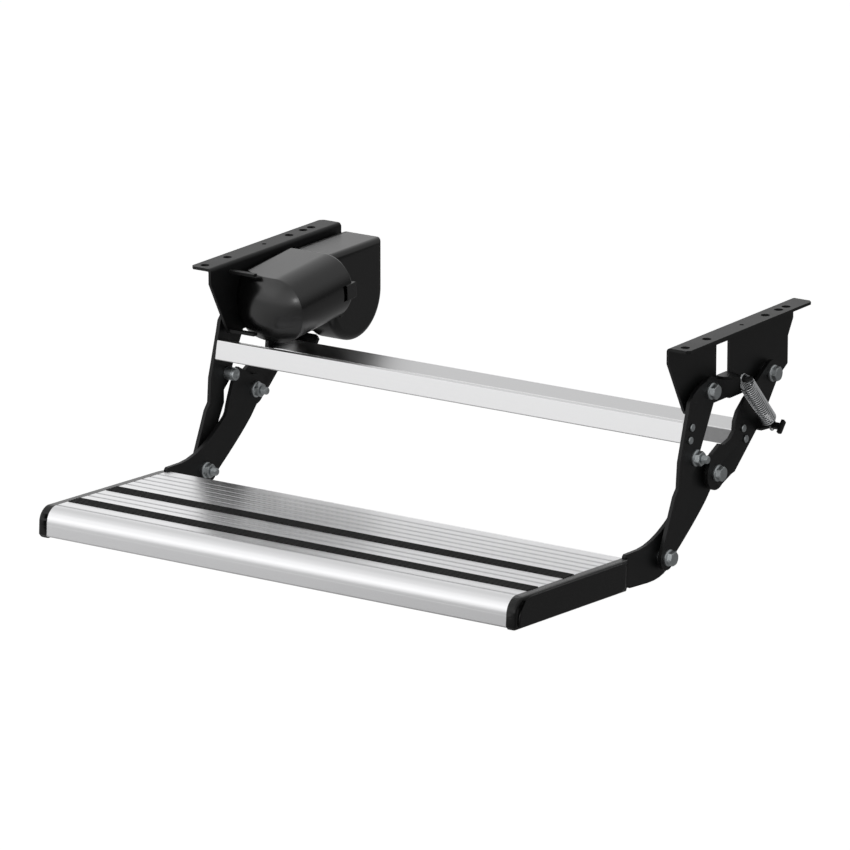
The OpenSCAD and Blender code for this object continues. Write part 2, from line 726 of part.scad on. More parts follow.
// Side plates
foot_front = board_front + foot_setback;
foot_top = board_top - 4.4;
foot_bottom = board_bottom + 0.5;
plate_rise = board_rear - 3;
plate_crest = board_top + 3.5;
link_dir = atan2(rear_link.y - front_link.y, rear_link.x - front_link.x);
function on_link_low(s, t) = along(front_link, link_dir, s, t);
function on_link_high(s, t) = along(rear_link, link_dir, s, t);
plate_eye_r = 16;
horn_top = 41;
side_plate_points = concat(
    [on_tread(board_rear + cap_tail, foot_bottom),
    on_tread(board_rear + cap_tail + 0.3, foot_bottom - 2.3)],
    bend(on_tread(-22, foot_bottom - 3.4), front_link + [8.7, -22.3], on_link_low(12, -17.6)),
    bend(on_link_low(17, -17.1), on_link_low(60, -19), on_link_low(86, -16.6), 5),
    [on_link_high(-2, -13),
    on_link_high(8, -6),
    on_link_high(8, 8),
    on_link_high(1, 26),
    on_link_high(-6, horn_top)],
    bend(on_link_high(-10, horn_top + 1), on_link_high(-38, 27), on_link_high(-48, 19), 4),
    bend(on_link_low(56, 17.7), on_link_low(5, 17), on_tread(plate_rise + 25, plate_crest + 0.6)),
    [on_tread(plate_rise + 2, plate_crest),
    on_tread(plate_rise, plate_crest - 2),
    on_tread(plate_rise, foot_top),
    on_tread(foot_front, foot_top),
    on_tread(foot_front, foot_bottom)]);
module side_plate_outline() {
    polygon(side_plate_points);
    translate(rear_link) circle(plate_eye_r);
}
module side_plate() {
    difference() {
        side_view(inner_half, plate_out) side_plate_outline();
        rod(front_link, inner_half - 1, plate_out + 1, pivot_d + 2 * fit);
        rod(rear_link, inner_half - 1, plate_out + 1, pivot_d + 2 * fit);
        rod(stop_at, inner_half - 1, plate_out + 1, stop_d + 2 * loose);
        for (u = ports) rod(on_tread(u, port_v), inner_half - 1, plate_out + 1,
            plate_screw_d + 2 * fit);
    }
}
module left_side_plate() color([0.1, 0.1, 0.11]) on_side(LEFT) side_plate();
module right_side_plate() color([0.1, 0.1, 0.11]) side_plate();

plate_screw_l = 18;
plate_head_d = 9;
plate_head_t = 2;
module side_plate_screws() color([0.4, 0.42, 0.43]) on_both_sides() for (u = ports) {
    rod(on_tread(u, port_v), plate_out, plate_out + plate_head_t, plate_head_d);
    rod(on_tread(u, port_v), plate_out - plate_screw_l, plate_out + 1, plate_screw_d);
}

// End caps
cap_front = board_front - 0.6;
cap_rear = board_rear + cap_tail;
cap_bottom = board_bottom - 1.6;
cap_out = inner_half + cap_t;
panel_proud = 0.6;
nose_w = nosing_r + 1;
groove_gap = 2;
panel_corner = 5;
arm_relief_in = 10;
arm_relief_out = 22;
module cap_outline() {
    r = nosing_r + 0.6;
    h = board_top - cap_bottom;
    translate([cap_front + r, board_top - r]) circle(r);
    translate([cap_front + r, cap_bottom + 3]) square([cap_rear - cap_front - r - 3, h - 3]);
    translate([cap_front, cap_bottom]) rounded_rect(cap_rear - cap_front, h - r, 3);
    translate([cap_rear - 30, cap_bottom]) rounded_rect(30, h, 3);
}
// Rounds the outer edges: plan view [x, u] and rear view [x, v] with rounded outer corners
module cap_edges() {
    w = 2 * cap_t;
    h = board_top - cap_bottom;
    intersection() {
        translate([0, front_link.x, front_link.y]) rotate([-tread_slope, 0, 0])
            translate([0, 0, -100]) linear_extrude(200)
                translate([cap_out - w, cap_front])
                    rounded_rect(w, cap_rear - cap_front, cap_edge_r);
        translate([0, front_link.x, front_link.y]) rotate([-tread_slope, 0, 0])
            translate([0, 10, 0]) rotate([90, 0, 0]) linear_extrude(board_depth + 200)
                translate([cap_out - w, cap_bottom])
                    rounded_rect(w, h, cap_edge_r);
    }
}
module end_cap() {
    peg_gap = 0.2;
    difference() {
        union() {
            intersection() {
                tread_view(inner_half, cap_out) cap_outline();
                cap_edges();
            }
            tread_view(cap_out - 1, cap_out + panel_proud)
                translate([cap_front + nose_w + groove_gap, cap_bottom + 1.5])
                    rounded_rect(cap_rear - cap_front - nose_w - groove_gap - 1,
                        board_top - cap_bottom - 3, panel_corner);
        }
        tread_view(inner_half - 1, plate_out + loose) {
            translate([foot_front - peg_gap, foot_bottom - peg_gap])
                square([board_depth, foot_top - foot_bottom + 2 * peg_gap]);
            translate([plate_rise - peg_gap, foot_bottom - peg_gap]) square([60, 60]);
        }
        for (u = ports) rod(on_tread(u, port_v), plate_out, plate_out + plate_head_t + loose,
            plate_head_d + 2 * loose);
        tread_view(cap_out - 2, cap_out + 1) translate([cap_front + nose_w, cap_bottom - 1])
            square([groove_gap, board_t + 4]);
        rod(on_tread(cap_front + nose_w - 5, board_top - 9), cap_out - 1.5, cap_out + 1, 6);
        // Room for the front arm's edge when the step is folded
        translate([0, front_link.x, front_link.y]) rotate([-tread_slope, 0, 0])
            translate([0, 0, -100]) linear_extrude(200) polygon([
                [arm_in - 0.5, cap_rear - arm_relief_in],
                [cap_out + 3, cap_rear - arm_relief_out],
                [cap_out + 3, cap_rear + 1],
                [arm_in - 0.5, cap_rear + 1]]);
    }
    tread_view(inner_half - 10, inner_half + 1) difference() {
        translate([first_groove, cell_floor + peg_gap])
            square([cell_pitch - board_wall - nosing_r - 2, cell_roof - cell_floor - 2 * peg_gap]);
        translate([first_groove + 2, cell_floor + 3])
            square([cell_pitch - board_wall - nosing_r - 6, cell_roof - cell_floor - 6]);
    }
}
module left_end_cap() color([0.13, 0.13, 0.13]) on_side(LEFT) end_cap();
module right_end_cap() color([0.13, 0.13, 0.13]) end_cap();

// Return spring: one wire from hook to hook. It is drawn as [x, w, a], where w runs from the
// bracket's tab to the arm's tab
spring_r = (spring_od - wire_d) / 2;
hook_gap = 0.35;
spring_vec = arm_tab_at - web_tab_at;
spring_len = norm(spring_vec);
spring_dir = atan2(spring_vec.y, spring_vec.x);
top_hook_r = norm([neck_w, sheet_t]) / 2 + hook_gap + wire_d / 2;
low_hook_r = norm([neck_w, arm_t]) / 2 + hook_gap + wire_d / 2;
coil_start = 9;
coil_end = spring_len - 10;
coil_pitch = (coil_end - coil_start) / curls;
wire_sides = 6;
rings_per_curl = 8;
hook_step = 22;
coil_tail = 1.6;
coil_path = concat(
    [for (q = [-130:hook_step:90]) [0, -top_hook_r * cos(q), top_hook_r * sin(q)]],
    [[0, coil_start - 1.2, spring_r]],
    [for (i = [0:curls * rings_per_curl])
        let (q = 360 * i / rings_per_curl)
        [spring_r * sin(q), coil_start + coil_pitch * q / 360, spring_r * cos(q)]],
    [[0, coil_end + coil_tail, spring_r]]);
low_hook_path = concat(
    [[0, coil_end + coil_tail + 0.1, spring_r], [0, coil_end + coil_tail + 1.1, spring_r]],
    [for (q = [90:-hook_step:-130]) [0, spring_len + low_hook_r * cos(q), low_hook_r * sin(q)]]);

function unit(v) = v / norm(v);
function tangents(p) = [for (i = [0:len(p) - 1])
    unit(unit(p[min(i + 1, len(p) - 1)] - p[i == len(p) - 1 ? i - 1 : i])
        + unit(p[i == 0 ? 1 : i] - p[max(i - 1, 0)]))];
// Side vectors carried along the path without twist
function sides_along(t) = [for (i = 0, n = [1, 0, 0]; i < len(t);
    i = i + 1, n = i < len(t) ? unit(n - (n * t[i]) * t[i]) : n) unit(n - (n * t[i]) * t[i])];
module wire(path, d) {
    t = tangents(path);
    n = sides_along(t);
    last = len(path) - 1;
    points = [for (i = [0:last], k = [0:wire_sides - 1])
        path[i] + d / 2 * (cos(360 * k / wire_sides) * n[i]
            + sin(360 * k / wire_sides) * cross(t[i], n[i]))];
    faces = concat(
        [for (i = [0:last - 1], k = [0:wire_sides - 1])
            let (a = i * wire_sides + k, b = i * wire_sides + (k + 1) % wire_sides)
            [a, a + wire_sides, b]],
        [for (i = [0:last - 1], k = [0:wire_sides - 1])
            let (a = i * wire_sides + k, b = i * wire_sides + (k + 1) % wire_sides)
            [b, a + wire_sides, b + wire_sides]],
        [for (k = [1:wire_sides - 2]) [0, k, k + 1]],
        [for (k = [1:wire_sides - 2]) last * wire_sides * [1, 1, 1] + [0, k + 1, k]]);
    polyhedron(points = points, faces = faces);
}
// Least distance between stretches of the wire that are over half a curl apart
wire_gap = min([for (i = [0:len(coil_path) - 1], j = [i + 5:1:min(i + 12, len(coil_path) - 1)])
    norm(coil_path[i] - coil_path[j])]) - wire_d;
echo(least_gap_of_wire_to_itself = wire_gap);
module spring_place() {
    translate([spring_x, web_tab_at.x, web_tab_at.y]) rotate([spring_dir, 0, 0]) children();
}
module return_spring() color([0.5, 0.52, 0.53]) spring_place() wire(coil_path, wire_d);
module spring_lower_hook() color([0.5, 0.52, 0.53]) spring_place() wire(low_hook_path, wire_d);

// Motor and worm gear, behind the left web. The motor's frame starts at the worm's middle,
// with Y along the motor to the rear
wheel_r = gear_module * wheel_teeth / 2;
centre_distance = wheel_r + worm_pitch_d / 2;
motor_x = -inner_half + motor_inset;
worm_at = along(rear_pivot, 90 + motor_tilt, centre_distance, 0);
function motor_axis_z(y) = worm_at.y + (y - worm_at.x) * tan(motor_tilt);
housing_screw_d = 5;
chamber_d = 2 * (wheel_r + gear_module) + 2.5;
housing_d = chamber_d + 13;
housing_screw_r = chamber_d / 2 + 3.3;
housing_screws_at = [for (q = [150, 270, 30]) along(rear_pivot, q, wheel_r + 1, 0)];
module motor_place() {
    translate([motor_x, worm_at.x, worm_at.y]) rotate([motor_tilt, 0, 0]) children();
}
// Cylinder along the motor's axis, from s0 to s1
module motor_rod(s0, s1, d) {
    translate([0, s0, 0]) rotate([-90, 0, 0]) cylinder(h = s1 - s0, d = d);
}
module motor_ring(s0, s1, d, bore) {
    difference() {
        motor_rod(s0, s1, d);
        motor_rod(s0 - 1, s1 + 1, bore);
    }
}

// Motor cover: a D-shaped shell, flat against the web and round inside
cover_rear_y = 27.7;
cover_front_s = -(worm_at.x + motor_cover_front) / cos(motor_tilt);
dome_x = 10;
// The front is a barrel, bent round an upright axis
module d_solid(inset, front, rear) {
    r = motor_cover_h / 2 - inset;
    round_x = -inner_half + motor_cover_w - motor_cover_h / 2 - motor_x;
    flat_x = -inner_half - motor_x;
    dome_s = cover_front_s + motor_dome_plan_r;
    translate([0, 0, -motor_cover_drop]) intersection() {
        union() {
            translate([round_x, 0, 0]) rotate([-90, 0, 0]) translate([0, 0, front])
                cylinder(h = rear - front, r = r);
            translate([flat_x, front, -r]) cube([round_x - flat_x, rear - front, 2 * r]);
        }
        translate([flat_x, front, -r - 1]) cube([2 * motor_cover_w, rear - front, 2 * r + 2]);
        union() {
            translate([dome_x, dome_s, 0]) rotate_extrude() intersection() {
                translate([motor_dome_plan_r - motor_dome_r, 0]) circle(motor_dome_r - inset);
                translate([0, -motor_dome_r]) square(2 * motor_dome_r);
            }
            translate([flat_x - 1, dome_s, -r - 1]) cube([2 * motor_cover_w, 100, 2 * r + 2]);
        }
    }
}
module motor_cover() color([0.08, 0.08, 0.08]) {
    latch = [16, 14.5];
    latch_slot = 4.5;
    latch_front = -58;
    side_x = -inner_half + motor_cover_w - motor_x;
    difference() {
        intersection() {
            motor_place() difference() {
                d_solid(0, cover_front_s, 20);
                d_solid(cover_wall, cover_front_s - 1, 21);
            }
            translate([-inner_half, -200, -200]) cube([300, 200 + cover_rear_y, 400]);
        }
        motor_place() translate([side_x - 4, latch_front - latch_slot, -latch.x / 2 - 2])
            cube([8, latch_slot, latch.x]);
    }
    difference() {
        intersection() {
            motor_place() d_solid(cover_wall - 0.5, cover_front_s + 20, 20);
            translate([-inner_half, cover_rear_y - cover_wall, -200]) cube([300, cover_wall, 400]);
        }
        motor_place() motor_rod(-60, 0, passage_d);
    }
    motor_place() translate([side_x - 1.5, latch_front, -latch.x / 2 - 2])
        cube([3.5, latch.y, latch.x]);
}

// Gear cover: straight top and rear, round bottom, narrower beside the web so that the left
// arm's tab passes behind it
gear_cover_at = rear_pivot + [0.5, 5.8];
gear_neck_r = housing_d / 2 + cover_wall + 1.5;
gear_neck_low = -26;
gear_step_x = -inner_half + 21;
gear_face_x = -inner_half + gear_cover_w;
cover_screw_at = along(rear_pivot, 193.6, housing_screw_r - 0.6, 0);
cover_screw_d = 3;
passage_d = 30;
grommet_d = 9;
grommet_at = [-inner_half + 38, gear_cover_at.x + gear_cover_r, -22];

module gear_solid(inset) {
    r = gear_cover_r - inset;
    edge = max(gear_cover_edge - inset, 1);
    step_x = gear_step_x + inset;
    face_x = gear_face_x - inset;
    top = -gear_cover_top - inset;
    intersection() {
        translate([0, gear_cover_at.x, gear_cover_at.y]) {
            rotate([0, 90, 0]) rotate([0, 0, -90]) rotate_extrude(angle = 180) {
                translate([0, step_x]) square([r, face_x - step_x - edge]);
                translate([0, step_x]) square([r - edge, face_x - step_x]);
                translate([r - edge, face_x - edge]) intersection() {
                    circle(edge);
                    square(edge);
                }
            }
            linear_extrude(80) {
                translate([step_x, -r]) square([face_x - step_x - edge, 2 * r]);
                translate([step_x, -r + edge]) square([face_x - step_x, 2 * (r - edge)]);
                for (k = [-1, 1]) translate([face_x - edge, k * (r - edge)]) circle(edge);
            }
        }
        translate([0, 200, 0]) rotate([90, 0, 0]) linear_extrude(400) {
            translate([step_x, -200]) square([face_x - step_x - edge, 200 + top]);
            translate([step_x, -200]) square([face_x - step_x, 200 + top - edge]);
            translate([face_x - edge, top - edge]) circle(edge);
        }
    }
    side_view(-inner_half - (inset > 0 ? 1 : 0), step_x + 1) {
        translate(rear_pivot) circle(gear_neck_r - inset);
        translate([rear_pivot.x - gear_neck_r + inset, rear_pivot.y])
            square([2 * (gear_neck_r - inset) - 4, top - rear_pivot.y]);
        translate([gear_cover_at.x - r, gear_neck_low + inset])
            square([2 * r, top - gear_neck_low - inset]);
    }
}
module gear_cover() color([0.07, 0.07, 0.07]) difference() {
    gear_solid(0);
    gear_solid(cover_wall);
    motor_place() motor_rod(-60, 0, passage_d);
    rod(cover_screw_at, gear_face_x - 5, gear_face_x + 1, cover_screw_d + 2 * fit);
    translate(grommet_at - [0, 5, 0]) rotate([-90, 0, 0])
        cylinder(h = 10, d = grommet_d + 2 * fit);
}
module gear_cover_screw() color([0.4, 0.42, 0.43]) {
    rod(cover_screw_at, gear_face_x, gear_face_x + 1.2, 2 * cover_screw_d);
    rod(cover_screw_at, gear_face_x - 16, gear_face_x + 1, cover_screw_d);
}
module cable_grommet() color([0.05, 0.05, 0.05]) translate(grommet_at) rotate([-90, 0, 0])
    difference() {
        union() {
            translate([0, 0, -cover_wall - 1]) cylinder(h = cover_wall + 3, d = grommet_d);
            cylinder(h = 2, d = grommet_d + 4);
            translate([0, 0, -cover_wall - 2]) cylinder(h = 2, d = grommet_d + 4);
        }
        translate([0, 0, -cover_wall - 3]) cylinder(h = cover_wall + 6, d = grommet_d - 4);
    }

// Gear housing: a casting on the web with the wheel's chamber and the worm's tube
lid_t = 5;
lid_x = motor_x + wheel_w / 2 + 3;
chamber_x = motor_x - wheel_w / 2 - 2;
bearing_d = 18;
bearing_l = 10;
worm_bearing_l = 9;
worm_tube_d = 23;
worm_tube_rear = 36;
worm_tube_front = -50;
worm_chamber_d = worm_pitch_d + 2 * gear_module + 1;
worm_half = 24;
motor_shaft_d = 6;
lid_screws_at = [for (q = [45, 300, 135]) along(rear_pivot, q, housing_screw_r, 0)];
lid_screw_d = 3;

module gear_housing() color([0.6, 0.6, 0.61]) difference() {
    union() {
        rod(rear_pivot, -inner_half, lid_x, housing_d);
        motor_place() motor_rod(worm_tube_front, worm_tube_rear, worm_tube_d);
    }
    rod(rear_pivot, chamber_x, lid_x + 1, chamber_d);
    rod(rear_pivot, -inner_half - 1, chamber_x + 1, shaft_d + 2 * loose);
    rod(rear_pivot, -inner_half - 1, -inner_half + bearing_l, bearing_d + 2 * fit);
    motor_place() {
        motor_rod(-worm_half - 2, worm_half + 2, worm_chamber_d);
        motor_rod(worm_half + 1, worm_tube_rear + 1, bearing_d + 2 * fit);
        motor_rod(-worm_half - 2 - worm_bearing_l, -worm_half, bearing_d + 2 * fit);
        motor_rod(worm_tube_front - 1, 0, motor_shaft_d + 4);
    }
    for (screw = housing_screws_at) rod(screw, -inner_half - 1, -inner_half + 15,
        housing_screw_d + 2 * fit);
    for (screw = lid_screws_at) rod(screw, lid_x - 10, lid_x + 1, lid_screw_d + 2 * fit);
    rod(cover_screw_at, lid_x - 12, lid_x + 1, cover_screw_d + 2 * fit);
    // Room for the lid
    rod(rear_pivot, lid_x, lid_x + 50, housing_d + 10);
}
module gear_housing_lid() color([0.62, 0.62, 0.63]) difference() {
    rod(rear_pivot, lid_x, lid_x + lid_t, housing_d);
    rod(rear_pivot, lid_x - 1, lid_x + lid_t + 1, bearing_d + 2 * fit);
    motor_place() motor_rod(worm_tube_front, worm_tube_rear + 1, worm_tube_d + 2 * fit);
    for (screw = lid_screws_at) rod(screw, lid_x - 1, lid_x + lid_t + 1, lid_screw_d + 2 * fit);
    rod(cover_screw_at, lid_x - 1, lid_x + lid_t + 1, cover_screw_d + 2 * fit);
}
module housing_screws() color([0.4, 0.42, 0.43]) {
    for (screw = housing_screws_at) {
        rod(screw, -web_out - 2.4, -web_out, housing_screw_d + 4);
        rod(screw, -web_out - 1, -inner_half + 14, housing_screw_d);
    }
    for (screw = lid_screws_at) {
        rod(screw, lid_x + lid_t, lid_x + lid_t + 1.6, 2 * lid_screw_d);
        rod(screw, lid_x - 9, lid_x + lid_t + 1, lid_screw_d);
    }
}
module output_bearings() color([0.72, 0.55, 0.3]) {
    ring(rear_pivot, -inner_half, -inner_half + bearing_l, bearing_d, shaft_d + 2 * pivot_clear);
    ring(rear_pivot, lid_x, lid_x + lid_t, bearing_d, shaft_d + 2 * pivot_clear);
}
module worm_bearings() color([0.72, 0.55, 0.3]) motor_place() {
    motor_ring(worm_tube_rear - worm_bearing_l, worm_tube_rear, bearing_d,
        motor_shaft_d + 2 * pivot_clear);
    motor_ring(-worm_half - 2 - worm_bearing_l, -worm_half - 2, bearing_d,
        motor_shaft_d + 2 * pivot_clear);
}

// Motor
can_rear = worm_tube_front;
can_front = -122;
core_front = can_front + 18;
core_rear = can_rear - 13;
magnet_d = motor_d - 2 * can_wall - 2 * fit;
core_d = 40;
module motor_can() color([0.25, 0.25, 0.26]) motor_place() {
    motor_ring(can_front, can_rear, motor_d, motor_d - 2 * can_wall);
    motor_ring(can_rear - 3, can_rear, motor_d - 1, motor_shaft_d + 4);
}
module motor_magnets() color([0.2, 0.2, 0.2]) motor_place() difference() {
    motor_ring(core_front - 4, core_rear + 4, magnet_d, core_d + 3);
    for (q = [0, 90]) rotate([0, q, 0]) if (q == 0)
        translate([-8, can_front, -motor_d]) cube([16, can_rear - can_front, 2 * motor_d]);
}
module motor_end_cap() color([0.15, 0.15, 0.15]) motor_place() {
    motor_ring(can_front - 3, can_front, motor_d, motor_shaft_d + 2 * pivot_clear);
    motor_ring(can_front - 7, can_front - 2, 16, motor_shaft_d + 2 * pivot_clear);
}
commutator_d = 18;
brush_h = 5;
module motor_brushes() color([0.3, 0.27, 0.25]) motor_place() for (k = [-1, 1])
    translate([k > 0 ? commutator_d / 2 + loose : -commutator_d / 2 - loose - 10,
        can_front, -brush_h / 2]) cube([10, 8, brush_h]);
module armature_shaft() color([0.65, 0.66, 0.68]) motor_place() {
    motor_rod(can_front - 6, worm_tube_rear + 1, motor_shaft_d);
    motor_rod(-worm_half, worm_half, worm_pitch_d - 2 * gear_module - 2 * loose);
}
module armature_core() color([0.45, 0.35, 0.25]) motor_place() difference() {
    motor_rod(core_front, core_rear, core_d);
    motor_rod(can_front, can_rear, motor_shaft_d + 2 * fit);
    for (i = [0:7]) rotate([0, 45 * i, 0]) translate([-1.5, can_front, core_d / 2 - 7])
        cube([3, can_rear - can_front, 10]);
}
module commutator() color([0.75, 0.45, 0.25]) motor_place()
    motor_ring(can_front + 1, can_front + 11, commutator_d, motor_shaft_d + 2 * fit);

// Output shaft and worm wheel, which turn with the rear arms
key_w = 4;
key_h = 2;
wheel_x0 = motor_x - wheel_w / 2;
module shaft_key(clear) {
    translate([wheel_x0 + 1 - clear, rear_pivot.x - key_w / 2 - clear,
        rear_pivot.y + shaft_d / 2 - 1]) cube([wheel_w - 2 + 2 * clear + clear * 100,
        key_w + 2 * clear, key_h + 1 + clear]);
}
module output_shaft() color([0.6, 0.61, 0.63]) difference() {
    union() {
        rod(rear_pivot, -arm_in, lid_x + lid_t - 0.5, shaft_d);
        translate([-arm_out + 0.2, rear_pivot.x, rear_pivot.y]) rotate([rear_arm_dir, 0, 0])
            translate([0, -drive_square / 2, -drive_square / 2])
                cube([arm_t, drive_square, drive_square]);
        shaft_key(0);
    }
    rod(rear_pivot, -arm_out - 1, -arm_out + 20, drive_bolt_d + 2 * fit);
}
drive_bolt_d = 6;
module drive_bolt() color([0.3, 0.33, 0.34]) on_side(LEFT) {
    flange_head(rear_pivot, arm_out, hex_h);
    rod(rear_pivot, arm_out - 18, arm_out + 1, drive_bolt_d);
}
module worm_wheel() color([0.72, 0.55, 0.3]) difference() {
    side_view(wheel_x0, wheel_x0 + wheel_w) translate(rear_pivot) polygon([
        for (i = [0:wheel_teeth - 1], c = [[-0.27, -1.25], [-0.14, 1], [0.14, 1], [0.27, -1.25]])
            let (q = 360 * (i + c.x) / wheel_teeth, r = wheel_r + c.y * gear_module)
            r * [cos(q), sin(q)]]);
    rod(rear_pivot, wheel_x0 - 1, wheel_x0 + wheel_w + 1, shaft_d + 2 * fit);
    translate([wheel_x0 - 1, rear_pivot.x - key_w / 2 - fit, rear_pivot.y])
        cube([wheel_w + 2, key_w + 2 * fit, shaft_d / 2 + key_h + fit]);
}

left_bracket();
right_bracket();
frame_pivot_bolts();
frame_pivot_nuts();
frame_spacers();
motor_cover();
gear_cover();
gear_cover_screw();
gear_housing();
gear_housing_lid();
housing_screws();
output_bearings();
worm_bearings();
motor_can();
motor_magnets();
motor_end_cap();
motor_brushes();
cable_grommet();
armature_shaft();
armature_core();
commutator();
left_front_arm();
right_front_arm();
front_cross_bar();
front_bar_screws();
front_arm_bushes();
stop_sleeves();
stop_bolts();
stop_nuts();
front_link_bolts();
left_rear_arm();
right_rear_arm();
rear_cross_bar();
rear_bar_screws();
rear_arm_bushes();
output_shaft();
worm_wheel();
drive_bolt();
tread_board();
front_grip_strip();
rear_grip_strip();
left_side_plate();
right_side_plate();
left_end_cap();
right_end_cap();
side_plate_screws();
tread_pivot_bolts();
tread_pivot_nuts();
tread_spacers();
front_link_studs();
front_link_nuts();
return_spring();
spring_lower_hook();
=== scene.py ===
"""Looks of a caravan pull-out step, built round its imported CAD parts.

Sheet parts, bars, covers and caps start from copies of the CAD nodes. Fasteners, threads and
the return spring are modelled here. Lengths in the dataclasses are in millimetres, those in the
Studio class in metres.
"""

from __future__ import annotations

import json
import logging
import math
from dataclasses import dataclass, field
from enum import Enum
from typing import Any, Callable, Sequence

import bmesh
import bpy
from mathutils import Matrix, Vector

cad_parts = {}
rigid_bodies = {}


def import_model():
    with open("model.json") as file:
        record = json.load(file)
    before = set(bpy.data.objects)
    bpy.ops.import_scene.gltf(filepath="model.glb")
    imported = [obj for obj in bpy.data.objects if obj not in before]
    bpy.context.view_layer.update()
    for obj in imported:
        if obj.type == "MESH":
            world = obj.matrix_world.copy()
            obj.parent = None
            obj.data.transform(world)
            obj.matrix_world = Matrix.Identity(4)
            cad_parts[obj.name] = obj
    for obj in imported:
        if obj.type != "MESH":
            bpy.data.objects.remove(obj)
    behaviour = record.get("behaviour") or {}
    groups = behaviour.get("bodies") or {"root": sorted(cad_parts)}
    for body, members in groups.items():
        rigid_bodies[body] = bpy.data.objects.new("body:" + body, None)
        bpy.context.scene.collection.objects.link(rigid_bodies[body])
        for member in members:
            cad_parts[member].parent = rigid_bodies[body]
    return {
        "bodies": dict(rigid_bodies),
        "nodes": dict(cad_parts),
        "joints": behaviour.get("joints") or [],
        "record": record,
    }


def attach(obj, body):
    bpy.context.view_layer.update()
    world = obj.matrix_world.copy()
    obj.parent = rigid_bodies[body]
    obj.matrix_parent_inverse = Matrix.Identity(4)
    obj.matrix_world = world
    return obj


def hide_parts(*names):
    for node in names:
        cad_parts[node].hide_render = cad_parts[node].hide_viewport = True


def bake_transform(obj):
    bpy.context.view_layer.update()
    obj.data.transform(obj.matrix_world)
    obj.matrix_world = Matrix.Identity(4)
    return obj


LOG = logging.getLogger("step")
MM = 0.001
Point2 = tuple[float, float]
Point3 = tuple[float, float, float]
Colour = tuple[float, float, float]
Test = Callable[[Any], bool]
Piece = bpy.types.Object
Tree = bpy.types.NodeTree
Socket = bpy.types.NodeSocket
DOUBLES = 0.000002
NEAR = 1e-6
CUT_NEAR = 1e-7
CUT_MERGE = 0.0003
NODE_FLAT = 0.4
HULL_FLAT = 0.3


def grey(level: float) -> Colour:
    """Gives a grey of one level."""
    return (level, level, level)


class Side(Enum):
    """Which end of the step a piece sits on, with its sign along X."""

    LEFT = -1
    RIGHT = 1


class Grain(Enum):
    """How a finish varies over its surface."""

    PEBBLED = "pebbled"
    DRAWN = "drawn"
    MOTTLED = "mottled"


@dataclass(frozen=True)
class Linkage:
    """Pivots in the side view as (y, z), and the layers outward from the middle."""

    front_pivot: Point2 = (-39.3, -55.5)
    rear_pivot: Point2 = (74.0, -63.3)
    front_link: Point2 = (-114.72, -204.16)
    rear_link: Point2 = (-26.97, -140.5)
    stop: Point2 = (-66.17, -115.99)
    web_in: float = 267.0
    arm_in: float = 274.0
    arm_out: float = 278.0
    face_play: float = 0.1


LINKAGE = Linkage()
TREAD_SLOPE = 3.1


class Nodes:
    """Shader nodes that the finishes and the studio share."""

    @staticmethod
    def feed(tree: Tree, node: bpy.types.Node, given: dict[Any, Any]) -> bpy.types.Node:
        """Sets the inputs of a node to values, or links them to sockets.

        Args:
            tree: the node tree.
            node: the node.
            given: a value or a socket for each input.

        Returns:
            The same node.
        """
        for place, value in given.items():
            if isinstance(value, Socket):
                tree.links.new(value, node.inputs[place])
            else:
                node.inputs[place].default_value = value
        return node

    @staticmethod
    def add(tree: Tree, kind: str, given: dict[Any, Any], **settings: Any) -> bpy.types.Node:
        """Adds a shader node.

        Args:
            tree: the node tree.
            kind: its type, without the leading word that all types share.
            given: a value or a socket for each input.
            settings: its other properties.

        Returns:
            The node.
        """
        node = tree.nodes.new(f"ShaderNode{kind}")
        for key, value in settings.items():
            setattr(node, key, value)
        return Nodes.feed(tree, node, given)

    @staticmethod
    def math(tree: Tree, operation: str, *values: Socket | float) -> Socket:
        """Adds a math node on sockets and numbers."""
        node = Nodes.add(tree, "Math", dict(enumerate(values)), operation=operation)
        return node.outputs[0]

    @staticmethod
    def vector(tree: Tree, operation: str, given: dict[Any, Any], result: str) -> Socket:
        """Adds a vector math node and gives the named output."""
        return Nodes.add(tree, "VectorMath", given, operation=operation).outputs[result]

    @staticmethod
    def along(tree: Tree, place: Socket, way: Point3) -> Socket:
        """Adds the distance of a place along a direction."""
        return Nodes.vector(tree, "DOT_PRODUCT", {0: place, 1: way}, "Value")

    @staticmethod
    def ramp(tree: Tree, value: Socket, span: Point2, levels: Point2) -> Socket:
        """Adds a smooth change between two levels.

        Args:
            tree: the node tree.
            value: what the change follows.
            span: values where it starts and ends.
            levels: its levels there.

        Returns:
            The level.
        """
        ramp = Nodes.add(tree, "MapRange", {
            "Value": value, "From Min": span[0], "From Max": span[1], "To Min": levels[0],
            "To Max": levels[1]}, interpolation_type="SMOOTHSTEP")
        return ramp.outputs["Result"]


